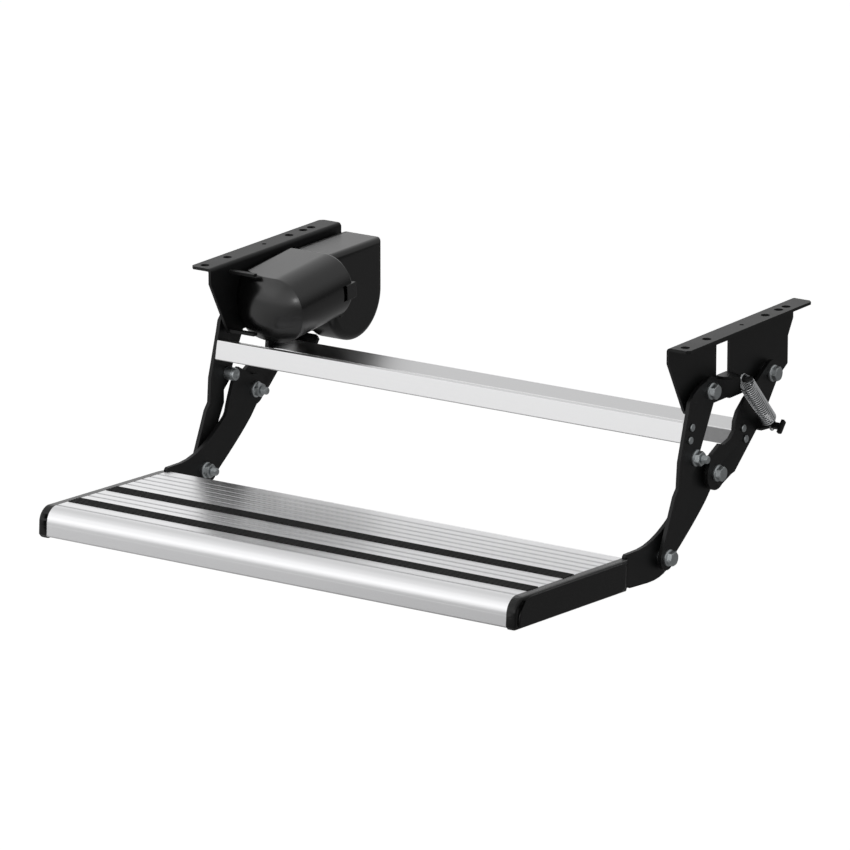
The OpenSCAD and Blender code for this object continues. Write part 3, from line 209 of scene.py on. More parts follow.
class Bench:
    """Modelling steps that every sub-assembly shares."""

    @staticmethod
    def clear() -> None:
        """Deselects everything in object mode."""
        if bpy.context.mode != "OBJECT":
            bpy.ops.object.mode_set(mode="OBJECT")
        bpy.ops.object.select_all(action="DESELECT")

    @staticmethod
    def pick(*objects: Piece) -> None:
        """Selects these objects alone, the first one active.

        Args:
            objects: the objects.
        """
        Bench.clear()
        for piece in objects:
            piece.select_set(True)
        bpy.context.view_layer.objects.active = objects[0]

    @staticmethod
    def edit(piece: Piece, chosen: bool = False) -> None:
        """Opens a piece in edit mode.

        Args:
            piece: the object to open.
            chosen: whether all of it is selected, instead of nothing.
        """
        Bench.pick(piece)
        bpy.ops.object.mode_set(mode="EDIT")
        bpy.ops.mesh.select_mode(type="FACE")
        bpy.ops.mesh.select_all(action="SELECT" if chosen else "DESELECT")

    @staticmethod
    def choose(piece: Piece, kind: str, test: Test) -> None:
        """Selects the parts of the open piece that pass a test.

        Args:
            piece: the object in edit mode.
            kind: VERT, EDGE or FACE.
            test: takes a part and says whether it is wanted.
        """
        bpy.ops.mesh.select_mode(type=kind)
        mesh = bmesh.from_edit_mesh(piece.data)
        for part in {"VERT": mesh.verts, "EDGE": mesh.edges, "FACE": mesh.faces}[kind]:
            part.select_set(bool(test(part)))
        bmesh.update_edit_mesh(piece.data)

    @staticmethod
    def lies_at(**places: float) -> Test:
        """Makes a test for edges and faces whose corners all lie at an x, y or z."""
        return lambda part: all(abs(getattr(corner.co, axis) - place * MM) < NEAR
                                for corner in part.verts for axis, place in places.items())

    @staticmethod
    def done() -> None:
        """Leaves edit mode."""
        bpy.ops.object.mode_set(mode="OBJECT")

    @staticmethod
    def settle(piece: Piece) -> None:
        """Moves a piece's place into its mesh."""
        Bench.pick(piece)
        bpy.ops.object.transform_apply(location=True, rotation=True, scale=True)

    @staticmethod
    def apply(piece: Piece) -> None:
        """Applies all modifiers of a piece in their order.

        Args:
            piece: the object.
        """
        Bench.pick(piece)
        for modifier in list(piece.modifiers):
            bpy.ops.object.modifier_apply(modifier=modifier.name)

    @staticmethod
    def smooth(piece: Piece, degrees: float = 32.0) -> None:
        """Shades a piece smooth across edges under an angle."""
        Bench.pick(piece)
        bpy.ops.object.shade_smooth_by_angle(angle=math.radians(degrees))

    @staticmethod
    def bevel(piece: Piece, width: float, segments: int = 2, degrees: float = 30.0) -> None:
        """Rounds the sharp edges of a piece.

        Args:
            piece: the object to round.
            width: width of the rounding in millimetres.
            segments: facets across the rounding.
            degrees: least angle of an edge that is rounded.
        """
        rounding = piece.modifiers.new("rounding", "BEVEL")
        rounding.width = width * MM
        rounding.segments = segments
        rounding.limit_method = "ANGLE"
        rounding.angle_limit = math.radians(degrees)
        rounding.use_clamp_overlap = True
        rounding.miter_outer = "MITER_ARC"
        Bench.apply(piece)

    @staticmethod
    def combine(piece: Piece, other: Piece, operation: str) -> None:
        """Joins, cuts or intersects a piece with another, which is used up.

        Args:
            piece: the object that is kept.
            other: the object that is used up.
            operation: UNION, DIFFERENCE or INTERSECT.
        """
        step = piece.modifiers.new("combine", "BOOLEAN")
        step.operation = operation
        step.solver = "EXACT"
        step.object = other
        Bench.apply(piece)
        bpy.data.objects.remove(other)

    @staticmethod
    def mend_normals(piece: Piece) -> None:
        """Merges doubles and points all faces outward.

        Args:
            piece: the object to mend.
        """
        Bench.edit(piece, chosen=True)
        bpy.ops.mesh.remove_doubles(threshold=DOUBLES)
        bpy.ops.mesh.normals_make_consistent(inside=False)
        Bench.done()

    @staticmethod
    def turned(name: str, start: float, radius: float, stations: Sequence[Point2],
               sides: int = 48) -> Piece:
        """Turns a solid about X from a disc that is extruded station by station.

        Args:
            name: name of the new object.
            start: place of the first disc along X, in millimetres.
            radius: radius of the first disc.
            stations: further (x, radius) pairs in millimetres.
            sides: facets round the axis.

        Returns:
            The closed solid, its place in its mesh.
        """
        Bench.clear()
        bpy.ops.mesh.primitive_circle_add(vertices=sides, radius=radius * MM, fill_type="NGON",
                                          location=(start * MM, 0, 0),
                                          rotation=(0, math.pi / 2, 0))
        piece = bpy.context.active_object
        piece.name = name
        Bench.settle(piece)
        Bench.edit(piece, chosen=True)
        here, now = start, radius
        for place, wanted in stations:
            bpy.ops.mesh.extrude_region_move(
                TRANSFORM_OT_translate={"value": ((place - here) * MM, 0, 0)})
            grow = wanted / now
            bpy.ops.transform.resize(value=(1, grow, grow), center_override=(place * MM, 0, 0))
            here, now = place, wanted
        bpy.ops.mesh.select_all(action="SELECT")
        bpy.ops.mesh.normals_make_consistent(inside=False)
        Bench.done()
        return piece

    @staticmethod
    def round_edges(piece: Piece, width: float, segments: int, test: Test) -> None:
        """Rounds the edges of a piece that pass a test.

        Args:
            piece: the object to round.
            width: width of the rounding in millimetres.
            segments: facets across the rounding.
            test: takes an edge and says whether it is rounded.
        """
        Bench.edit(piece)
        Bench.choose(piece, "EDGE", test)
        bpy.ops.mesh.bevel(offset=width * MM, segments=segments, affect="EDGES")
        Bench.done()

    @staticmethod
    def crown(piece: Piece, radius: float, steps: int, test: Test) -> None:
        """Raises a flat face by insets that follow a quarter circle.

        Args:
            piece: the object to work on.
            radius: radius of the rounded rim in millimetres.
            steps: number of insets.
            test: takes a face and says whether it is the flat one.
        """
        Bench.edit(piece)
        Bench.choose(piece, "FACE", test)
        inward = upward = 0.0
        for step in range(1, steps + 1):
            turn = math.pi / 2 * step / steps
            to_inward, to_upward = radius * (1 - math.cos(turn)), radius * math.sin(turn)
            bpy.ops.mesh.inset(thickness=(to_inward - inward) * MM,
                               depth=(to_upward - upward) * MM, use_even_offset=True)
            inward, upward = to_inward, to_upward
        Bench.done()

    @staticmethod
    def cut(piece: Piece, point: Vector, normal: Vector) -> None:
        """Cuts away what lies on the far side of a plane and closes the cut.

        Args:
            piece: the object to cut.
            point: a point of the plane, in metres.
            normal: points to the side that is cut away.
        """
        Bench.edit(piece, chosen=True)
        bpy.ops.mesh.bisect(plane_co=point, plane_no=normal, use_fill=True, clear_outer=True,
                            threshold=CUT_NEAR)
        bpy.ops.mesh.remove_doubles(threshold=CUT_MERGE)
        Bench.done()

    @staticmethod
    def box(name: str, low: Point3, high: Point3) -> Piece:
        """Makes a box.

        Args:
            name: name of the new object.
            low: its lower corner, in millimetres.
            high: its upper corner.

        Returns:
            The solid, its place in its mesh.
        """
        Bench.clear()
        middle = [(a + b) / 2 * MM for a, b in zip(low, high)]
        bpy.ops.mesh.primitive_cube_add(size=1.0, location=middle)
        piece = bpy.context.active_object
        piece.name = name
        piece.scale = [(b - a) * MM for a, b in zip(low, high)]
        Bench.settle(piece)
        return piece

    @staticmethod
    def moved(piece: Piece, place: Matrix) -> Piece:
        """Puts a piece in place.

        Args:
            piece: the object to move.
            place: its transform.

        Returns:
            The same piece, its place in its mesh.
        """
        piece.matrix_world = place
        Bench.settle(piece)
        return piece

    @staticmethod
    def finished(piece: Piece) -> Piece:
        """Shades a piece smooth, and lets its broad faces rule the shading.

        Args:
            piece: the object to shade.

        Returns:
            The same piece.
        """
        Bench.smooth(piece)
        weights = piece.modifiers.new("weights", "WEIGHTED_NORMAL")
        weights.keep_sharp = True
        weights.weight = 100
        Bench.apply(piece)
        return piece

    @staticmethod
    def copy_to(piece: Piece, name: str, place: Matrix) -> Piece:
        """Copies a piece with its own mesh and puts the copy in place.

        Args:
            piece: the object to copy.
            name: name of the copy.
            place: transform of the copy.

        Returns:
            The copy, its place in its mesh.
        """
        Bench.pick(piece)
        bpy.ops.object.duplicate(linked=False)
        copy = bpy.context.active_object
        copy.name = name
        Bench.moved(copy, place)
        if place.determinant() < 0:
            Bench.mend_normals(copy)
        return copy

    @staticmethod
    def join(name: str, pieces: Sequence[Piece]) -> Piece:
        """Joins pieces into one object.

        Args:
            name: name of the joined object.
            pieces: the objects, at least one.

        Returns:
            The joined object.
        """
        Bench.pick(*pieces)
        if len(pieces) > 1:
            bpy.ops.object.join()
        joined = bpy.context.active_object
        joined.name = name
        return joined


@dataclass(frozen=True)
class GrooveShade:
    """Painted shade along the grooves of the board's sloping top, in the tread's own axes."""

    floor: float = 9.0
    first: float = -248.7
    lines: tuple[float, ...] = (0.0, 51.3, 64.7, 113.9, 127.3, 140.7, 154.1, 167.5)
    reach: Point2 = (0.8, 4.2)
    levels: Point2 = (0.74, 1.0)

    def darken(self, tree: Tree, place: Socket, colour: Socket) -> Socket:
        """Darkens a colour with painted shade inside the grooves and beside them.

        Args:
            tree: the material's node tree.
            place: the object coordinates.
            colour: the colour of the open surface.

        Returns:
            The colour with the painted shade.
        """
        s, c = math.sin(math.radians(TREAD_SLOPE)), math.cos(math.radians(TREAD_SLOPE))
        py, pz = LINKAGE.front_link
        along = Nodes.along(tree, place, (0, c, -s))
        nearest = None
        for line in self.lines:
            centre = (self.first + line + c * py - s * pz) * MM
            offset = Nodes.math(tree, "SUBTRACT", along, centre)
            distance = Nodes.math(tree, "ABSOLUTE", offset)
            nearest = distance if nearest is None else Nodes.math(
                tree, "MINIMUM", nearest, distance)
        shade = Nodes.ramp(tree, nearest, tuple(r * MM for r in self.reach), self.levels)
        below = Nodes.math(tree, "LESS_THAN", Nodes.along(tree, place, (0, s, c)),
                           (self.floor + s * py + c * pz) * MM)
        level = Nodes.math(tree, "MAXIMUM", shade, below)
        return Nodes.vector(tree, "SCALE", {0: colour, "Scale": level}, "Vector")


@dataclass(frozen=True)
class Finish:
    """A procedural surface and the record's material slot that it belongs to."""

    slot: str
    dark: Colour
    light: Colour
    metallic: float
    smoothest: float
    roughest: float
    grain: Grain
    scale: float
    relief: float
    specular: float = 0.5
    grooves: GrooveShade | None = None

    def build(self, name: str, groups: "GrainGroups") -> bpy.types.Material:
        """Makes the material.

        Args:
            name: name of the material.
            groups: the node groups that hold the grains.

        Returns:
            The finished material.
        """
        material = bpy.data.materials.new(name)
        material.use_nodes = True
        tree = material.node_tree
        place = Nodes.add(tree, "TexCoord", {}).outputs["Object"]
        grain = Nodes.add(tree, "Group", {
            "Place": place, "Scale": self.scale, "Dark": (*self.dark, 1),
            "Light": (*self.light, 1), "Smoothest": self.smoothest,
            "Roughest": self.roughest}, node_tree=groups.of(self.grain))
        bump = Nodes.add(tree, "Bump", {"Strength": 1.0, "Distance": self.relief * MM,
                                        "Height": grain.outputs["Height"]})
        colour = grain.outputs["Colour"]
        # painted shade: the board's colour is darkened along its grooves
        if self.grooves:
            colour = self.grooves.darken(tree, place, colour)
        Nodes.feed(tree, tree.nodes["Principled BSDF"], {
            "Metallic": self.metallic, "Specular IOR Level": self.specular,
            "Base Color": colour, "Roughness": grain.outputs["Roughness"],
            "Normal": bump.outputs["Normal"]})
        return material


class GrainGroups:
    """Shader node groups, one for each kind of grain, built once and shared."""

    INPUTS = {"Place": "Vector", "Scale": "Float", "Dark": "Color", "Light": "Color",
              "Smoothest": "Float", "Roughest": "Float"}
    OUTPUTS = {"Colour": "Color", "Roughness": "Float", "Height": "Float"}
    STRETCH = {Grain.PEBBLED: (1, 1, 1), Grain.DRAWN: (0.012, 1, 1), Grain.MOTTLED: (1, 1, 1)}
    BROAD_SCALE = 14.0
    BROAD_DETAIL = 3.0
    BROAD_SHARE = 0.45
    FINE_DETAIL = 2.0
    FINE_ROUGHNESS = 0.6
    SPREAD: Point2 = (0.3, 0.7)

    def __init__(self) -> None:
        """Starts with no groups built."""
        self._made: dict[Grain, Tree] = {}

    def of(self, grain: Grain) -> Tree:
        """Gives the node group of a grain, and builds it when it is first asked for.

        Args:
            grain: the kind of grain.

        Returns:
            The group.
        """
        if grain not in self._made:
            self._made[grain] = self._build(grain)
        return self._made[grain]

    def _build(self, grain: Grain) -> Tree:
        """Builds the node group of one grain.

        Args:
            grain: the kind of grain.

        Returns:
            A group with colour, roughness and height that vary over the surface.
        """
        tree = bpy.data.node_groups.new(f"{grain.value}_grain", "ShaderNodeTree")
        for way, sockets in (("INPUT", self.INPUTS), ("OUTPUT", self.OUTPUTS)):
            for label, kind in sockets.items():
                tree.interface.new_socket(label, in_out=way, socket_type=f"NodeSocket{kind}")
        given = tree.nodes.new("NodeGroupInput").outputs
        place = Nodes.add(tree, "Mapping", {"Scale": self.STRETCH[grain],
                                            "Vector": given["Place"]}).outputs["Vector"]
        spread = {"Vector": place, "Scale": given["Scale"]}
        if grain is Grain.MOTTLED:
            fine = Nodes.add(tree, "TexVoronoi", spread).outputs["Distance"]
        else:
            fine = Nodes.add(tree, "TexNoise", {**spread, "Detail": self.FINE_DETAIL,
                                                "Roughness": self.FINE_ROUGHNESS}).outputs["Fac"]
        broad = Nodes.add(tree, "TexNoise", {"Scale": self.BROAD_SCALE,
                                             "Detail": self.BROAD_DETAIL, "Vector": place})
        blend = Nodes.add(tree, "Mix", {"Factor": self.BROAD_SHARE, 2: fine,
                                        3: broad.outputs["Fac"]}).outputs[0]
        tint = Nodes.add(tree, "Mix", {"Factor": blend, 6: given["Dark"], 7: given["Light"]},
                         data_type="RGBA")
        rough = Nodes.add(tree, "MapRange", {
            "From Min": self.SPREAD[0], "From Max": self.SPREAD[1], "Value": blend,
            "To Min": given["Smoothest"], "To Max": given["Roughest"]})
        Nodes.feed(tree, tree.nodes.new("NodeGroupOutput"), {
            "Colour": tint.outputs[2], "Roughness": rough.outputs["Result"], "Height": fine})
        return tree


FINISHES: dict[str, Finish] = {
    "powder_coat": Finish("powder_coat", (0.0080, 0.0082, 0.0085), (0.0120, 0.0122, 0.0125), 0.0,
                          0.40, 0.50, Grain.PEBBLED, 1100.0, 0.012, 0.34),
    # the board's colour carries painted shade along its grooves
    "satin_aluminium": Finish(
        "board_aluminium", (0.84, 0.84, 0.85), (0.88, 0.88, 0.89), 1.0, 0.28, 0.34, Grain.PEBBLED,
        1500.0, 0.0008, grooves=GrooveShade()),
    "drawn_aluminium": Finish(
        "bar_aluminium", (0.76, 0.76, 0.765), (0.80, 0.80, 0.805), 1.0, 0.28, 0.33, Grain.DRAWN,
        900.0, 0.0002),
    "dark_zinc": Finish("zinc_steel", (0.46, 0.49, 0.50), (0.60, 0.63, 0.64), 1.0, 0.36, 0.48,
                        Grain.MOTTLED, 700.0, 0.003),
    "spring_steel": Finish(
        "spring_wire", (0.50, 0.51, 0.52), (0.62, 0.63, 0.64), 1.0, 0.16, 0.26, Grain.PEBBLED,
        800.0, 0.004),
    "cover_plastic": Finish(
        "motor_cover_plastic", grey(0.004), grey(0.006), 0.0, 0.20, 0.26, Grain.PEBBLED, 1500.0,
        0.003, 0.72),
    "gear_cover_plastic": Finish(
        "gear_cover_plastic", grey(0.004), grey(0.006), 0.0, 0.26, 0.32, Grain.PEBBLED, 1500.0,
        0.004, 0.52),
    "cap_plastic": Finish("cap_plastic", grey(0.004), grey(0.006), 0.0, 0.24, 0.31, Grain.PEBBLED,
                          1700.0, 0.005, 0.34),
    "ribbed_rubber": Finish(
        "grip_rubber", grey(0.008), grey(0.014), 0.0, 0.62, 0.78, Grain.PEBBLED, 1300.0, 0.030,
        0.3),
    "bush_plastic": Finish(
        "bush_plastic", (0.38, 0.34, 0.24), (0.46, 0.42, 0.31), 0.0, 0.40, 0.55, Grain.PEBBLED,
        900.0, 0.008),
    "sintered_bronze": Finish(
        "bronze", (0.42, 0.26, 0.10), (0.58, 0.38, 0.16), 1.0, 0.30, 0.45, Grain.MOTTLED, 1400.0,
        0.010),
    "cast_aluminium": Finish(
        "cast_aluminium", (0.40, 0.40, 0.41), (0.52, 0.52, 0.53), 1.0, 0.45, 0.60, Grain.PEBBLED,
        900.0, 0.040),
    "ground_steel": Finish(
        "turned_steel", (0.50, 0.51, 0.53), (0.60, 0.61, 0.63), 1.0, 0.18, 0.30, Grain.DRAWN,
        1200.0, 0.003),
    "motor_steel": Finish("motor_steel", (0.14, 0.14, 0.15), (0.22, 0.22, 0.23), 1.0, 0.35, 0.50,
                          Grain.MOTTLED, 500.0, 0.008),
    "ferrite": Finish("ferrite", (0.035, 0.035, 0.036), (0.060, 0.060, 0.062), 0.0, 0.55, 0.75,
                      Grain.PEBBLED, 1200.0, 0.030),
    "lacquered_winding": Finish(
        "winding", (0.25, 0.09, 0.03), (0.45, 0.18, 0.07), 1.0, 0.25, 0.40, Grain.DRAWN, 2500.0,
        0.060),
    "turned_copper": Finish(
        "copper", (0.55, 0.26, 0.13), (0.70, 0.36, 0.20), 1.0, 0.22, 0.35, Grain.MOTTLED, 1500.0,
        0.006),
    "carbon_block": Finish(
        "carbon", grey(0.02), grey(0.04), 0.0, 0.50, 0.70, Grain.PEBBLED, 1500.0, 0.020),
    "cable_rubber": Finish(
        "cable_rubber", grey(0.008), grey(0.013), 0.0, 0.50, 0.65, Grain.PEBBLED, 1400.0, 0.012),
}


class Finishes:
    """Materials by name, each built when it is first asked for."""

    def __init__(self) -> None:
        """Starts with an empty store."""
        self._groups = GrainGroups()
        self._made: dict[str, bpy.types.Material] = {}

    def dress(self, piece: Piece, name: str) -> None:
        """Puts a finish on a piece.

        Args:
            piece: the object to dress.
            name: key of the finish.
        """
        if name not in self._made:
            self._made[name] = FINISHES[name].build(name, self._groups)
        piece.data.materials.clear()
        piece.data.materials.append(self._made[name])
        for polygon in piece.data.polygons:
            polygon.material_index = 0


class Workshop:
    """The loaded frame with its finishes, and the step from CAD node to finished piece."""

    def __init__(self, frame: dict[str, Any]) -> None:
        """Keeps the frame's nodes and the body of each.

        Args:
            frame: what the frame's loading gives.
        """
        self.nodes: dict[str, Piece] = frame["nodes"]
        self.finishes = Finishes()
        groups = frame["record"]["behaviour"]["bodies"]
        self.body = {node: body for body, members in groups.items() for node in members}

    def plain(self, finish: str, *names: str) -> None:
        """Dresses CAD nodes that are shown as they are."""
        for name in names:
            self.finishes.dress(self.nodes[name], finish)

    def rounded(self, node: str, suffix: str, finish: str, width: float, segments: int = 2,
                degrees: float = 30.0) -> Piece:
        """Replaces a CAD node by a copy with rounded edges.

        Args:
            node: name of the CAD node.
            suffix: what is added to the node's name.
            finish: key of the finish.
            width: width of the rounding in millimetres.
            segments: facets across the rounding.
            degrees: least angle of an edge that is rounded.

        Returns:
            The new piece, riding on the node's body.
        """
        piece = self.bare_copy(node, f"{node}_{suffix}")
        Bench.bevel(piece, width, segments, degrees)
        return self.hand_over(Bench.finished(piece), finish, node)

    def bare_copy(self, node: str, name: str) -> Piece:
        """Copies a CAD node's mesh with doubles merged and flat faces dissolved.

        Args:
            node: name of the CAD node.
            name: name of the copy.

        Returns:
            The copy, which rides on nothing yet.
        """
        source = self.nodes[node]
        piece = bpy.data.objects.new(name, source.data.copy())
        bpy.context.scene.collection.objects.link(piece)
        Bench.edit(piece, chosen=True)
        bpy.ops.mesh.remove_doubles(threshold=DOUBLES)
        bpy.ops.mesh.dissolve_limited(angle_limit=math.radians(NODE_FLAT))
        Bench.done()
        return piece

    def hand_over(self, piece: Piece, finish: str, *nodes: str) -> Piece:
        """Dresses a piece, lets it ride on its nodes' body and hides those nodes.

        Args:
            piece: the finished mesh.
            finish: key of the finish.
            nodes: the CAD nodes that it stands for.

        Returns:
            The same piece.
        """
        self.finishes.dress(piece, finish)
        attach(piece, self.body[nodes[0]])
        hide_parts(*nodes)
        LOG.info("%s stands for %s", piece.name, ", ".join(nodes))
        return piece


@dataclass
class Assembly:
    """A sub-assembly, with the workshop that finishes its pieces."""

    shop: Workshop

    def build(self) -> None:
        """Makes and dresses the pieces."""
        raise NotImplementedError


@dataclass
class Brackets(Assembly):
    """The two sheet brackets and what they carry beside the motor."""

    rounding: float = 0.6

    def build(self) -> None:
        """Rounds the coated sheets."""
        for side in ("left", "right"):
            self.shop.rounded(f"{side}_bracket", "sheet", "powder_coat", self.rounding, 3)
        self.shop.plain("dark_zinc", "frame_spacers")


@dataclass
class MotorUnit(Assembly):
    """Covers of the motor and gear, with the unseen drive behind them."""

    seam_rounding: float = 0.5
    grommet_rounding: float = 0.4
    screw_rounding: float = 0.3
    web_x: float = -267.0
    cover_w: float = 83.5
    cover_h: float = 67.5
    cover_drop: float = 2.0
    axis_at: Point2 = (71.16, -30.8)
    tilt: float = 5.0
    rear_y: float = 27.7
    front_y: float = -76.0
    wall: float = 2.0
    corner_r: float = 12.0
    rim_r: float = 6.0
    tab_y: Point2 = (13.2, 28.6)
    tab_z: Point2 = (-10.0, 6.0)
    tab_proud: float = 1.2
    tab_rounding: float = 0.6
    slot_w: float = 4.5
    slot_depth: float = 3.5
    overlap: float = 5.0
    play: float = 0.01
    seam_angle: Point2 = (38.0, 40.0)
    rim_steps: int = 9
    block_size: float = 150.0
    block_y: Point2 = (-200.0, 200.0)
    corner_facets: int = 10
    gear_top: float = -7.0
    gear_y: Point2 = (28.0, 121.0)
    gear_corner_r: float = 10.0
    liner_play: Point2 = (0.05, 0.1)

    def build(self) -> None:
        """Rounds the covers and dresses the drive."""
        self.shop.hand_over(self.motor_shell(), "cover_plastic", "motor_cover")
        self.shop.hand_over(self.gear_shell(), "gear_cover_plastic", "gear_cover")
        self.shop.rounded("cable_grommet", "ring", "cable_rubber", self.grommet_rounding)
        self.shop.rounded("gear_cover_screw", "head", "cover_plastic", self.screw_rounding)
        self.shop.plain("cast_aluminium", "gear_housing", "gear_housing_lid")
        self.shop.plain("sintered_bronze", "output_bearings", "worm_bearings", "worm_wheel")
        self.shop.plain("motor_steel", "motor_can")
        self.shop.plain("cap_plastic", "motor_end_cap")
        self.shop.plain("ferrite", "motor_magnets")
        self.shop.plain("carbon_block", "motor_brushes")
        self.shop.plain("lacquered_winding", "armature_core")
        self.shop.plain("turned_copper", "commutator")
        self.shop.plain("ground_steel", "armature_shaft", "output_shaft")
        self.shop.plain("dark_zinc", "housing_screws")

    def _corner_block(self, name: str, y: Point2, top: float, radius: float) -> Piece:
        """Makes a block that fills the space by the web under a rounded upper corner.

        Args:
            name: name of the new object.
            y: its ends along Y, in millimetres.
            top: height of its top.
            radius: radius of the upper corner at the web.

        Returns:
            The solid.
        """
        block = Bench.box(name, (self.web_x, y[0], top - self.block_size),
                          (self.web_x + self.block_size, y[1], top))
        Bench.round_edges(block, radius, self.corner_facets,
                          Bench.lies_at(x=self.web_x, z=top))
        return block

    def motor_shell(self) -> Piece:
        """Makes the motor's cover from the hull of its CAD node.

        Returns:
            The hollow shell with a rounded rim and corner, its latch slot and tab.
        """
        shell = self.shop.bare_copy("motor_cover", "motor_cover_shell")
        side = (self.web_x + self.cover_w + self.play) * MM
        rear = (self.rear_y + self.play) * MM
        Bench.edit(shell)
        Bench.choose(shell, "VERT", lambda corner: corner.co.x > side or corner.co.y > rear)
        bpy.ops.mesh.delete(type="VERT")
        bpy.ops.mesh.select_all(action="SELECT")
        bpy.ops.mesh.convex_hull(join_triangles=False)
        bpy.ops.mesh.select_all(action="SELECT")
        bpy.ops.mesh.dissolve_limited(angle_limit=math.radians(HULL_FLAT))
        Bench.done()
        pose = self._motor_pose()
        top = self.cover_h / 2 - self.cover_drop
        corner = self._corner_block("corner", self.block_y, top, self.corner_r)
        Bench.combine(shell, Bench.moved(corner, pose), "INTERSECT")
        rim = self.rear_y - self.rim_r
        Bench.cut(shell, Vector((0, rim * MM, 0)), Vector((0, 1, 0)))
        Bench.crown(shell, self.rim_r, self.rim_steps, Bench.lies_at(y=rim))
        Bench.combine(shell, Bench.copy_to(shell, "cavity", self._shrink()), "DIFFERENCE")
        reach = self.web_x + self.cover_w
        (front, back), (low, high) = self.tab_y, self.tab_z
        here = pose @ Matrix.Translation(Vector((0, -self.axis_at[0], 0)) * MM)
        slot = Bench.moved(Bench.box(
            "slot", (reach - self.slot_depth, front - self.slot_w, low),
            (reach + self.overlap, front, high)), here)
        tab = Bench.moved(Bench.box("tab", (reach - self.overlap, front, low),
                                    (reach + self.tab_proud, back, high)), here)
        Bench.combine(shell, slot, "DIFFERENCE")
        Bench.bevel(tab, self.tab_rounding, 3)
        Bench.bevel(shell, self.seam_rounding, 2, self.seam_angle[0])
        shell = Bench.join("motor_cover_shell", [shell, tab])
        return Bench.finished(shell)

    def _motor_pose(self) -> Matrix:
        """Gives the transform from the motor's upright frame to its tilted place."""
        at = Vector((0, *self.axis_at)) * MM
        return Matrix.Translation(at) @ Matrix.Rotation(math.radians(self.tilt), 4, "X")

    def _shrink(self) -> Matrix:
        """Gives the transform that draws the motor cover's outside to its cavity.

        Returns:
            The transform, which leaves the cavity open at the web.
        """
        length = self.rear_y - self.front_y
        middle = (self.rear_y + self.front_y) / 2
        height = (self.axis_at[1] - self.cover_drop
                  + (middle - self.axis_at[0]) * math.tan(math.radians(self.tilt)))
        grow = Matrix.Diagonal(Vector(((self.cover_w + 1 - self.wall) / self.cover_w,
                                       1 - 2 * self.wall / length,
                                       1 - 2 * self.wall / self.cover_h, 1)))
        centre = Matrix.Translation(Vector((self.web_x, middle, height)) * MM)
        return Matrix.Translation(Vector((-1, 0, 0)) * MM) @ centre @ grow @ centre.inverted()

    def gear_shell(self) -> Piece:
        """Makes the gear's cover from its CAD node, with a rounded corner by the web.

        Returns:
            The shell.
        """
        shell = self.shop.bare_copy("gear_cover", "gear_cover_shell")
        r = self.gear_corner_r
        low = (self.web_x - 1, self.gear_y[0] - 1, self.gear_top - r)
        high = (self.web_x + r, self.gear_y[1] + 1, self.gear_top + 1)
        Bench.combine(shell, Bench.box("corner", low, high), "DIFFERENCE")
        Bench.bevel(shell, self.seam_rounding, 2, self.seam_angle[1])
        gap, less = self.liner_play
        liner = Bench.box("liner", (self.web_x, self.gear_y[0] + gap, self.gear_top - r - 1),
                          (self.web_x + r + 1, self.gear_y[1] - gap, self.gear_top))
        Bench.round_edges(liner, r - less, 8, Bench.lies_at(x=self.web_x, z=self.gear_top))
        shell = Bench.join("gear_cover_shell", [shell, liner])
        return Bench.finished(shell)


@dataclass
class Arms(Assembly):
    """The four coated arms with their bushes."""

    rounding: float = 0.6

    def build(self) -> None:
        """Rounds the arms and dresses the bushes."""
        for node in ("left_front_arm", "right_front_arm", "left_rear_arm", "right_rear_arm"):
            self.shop.rounded(node, "sheet", "powder_coat", self.rounding, 3)
        self.shop.plain("bush_plastic", "front_arm_bushes", "rear_arm_bushes")


@dataclass
class CrossBars(Assembly):
    """The two square bars between the arms."""

    rounding: float = 0.5

    def build(self) -> None:
        """Rounds both bars."""
        for node in ("front_cross_bar", "rear_cross_bar"):
            self.shop.rounded(node, "tube", "drawn_aluminium", self.rounding)


@dataclass(frozen=True)
class CapSize:
    """Sizes of the end cap's outer part, along and across the tread from its lower pivot."""

    face_x: float = 277.0
    panel_x: float = 277.8
    edge_r: float = 2.7
    front: float = -265.6
    floor: float = -20.4
    chin: float = 3.4
    rear: float = -57.0
    bottom: float = -19.1
    top: float = 9.1
    nose: Point2 = (-249.5, -5.7)
    valley_r: float = 12.4
    valley_w: float = 3.2
    valley_x: float = 275.9
    hollow: Point2 = (-256.0, 3.4)
    hollow_r: Point2 = (5.8, 2.8)
    hollow_turn: float = 38.0
    hollow_x: float = 275.2
    cutter: float = 10.0
    valley_reach: Point2 = (8.0, 14.0)
    valley_lap: float = 0.5
    rounding: float = 0.5
    rounding_angle: float = 50.0
    depth: float = 5.0
    rim_play: float = 0.4
    big_corner: float = 22.0
    small_corner: float = 5.0
    panel_edge: float = 1.6
    relief: tuple[Point2, Point2] = ((273.5, -66.0), (280.0, -78.0))


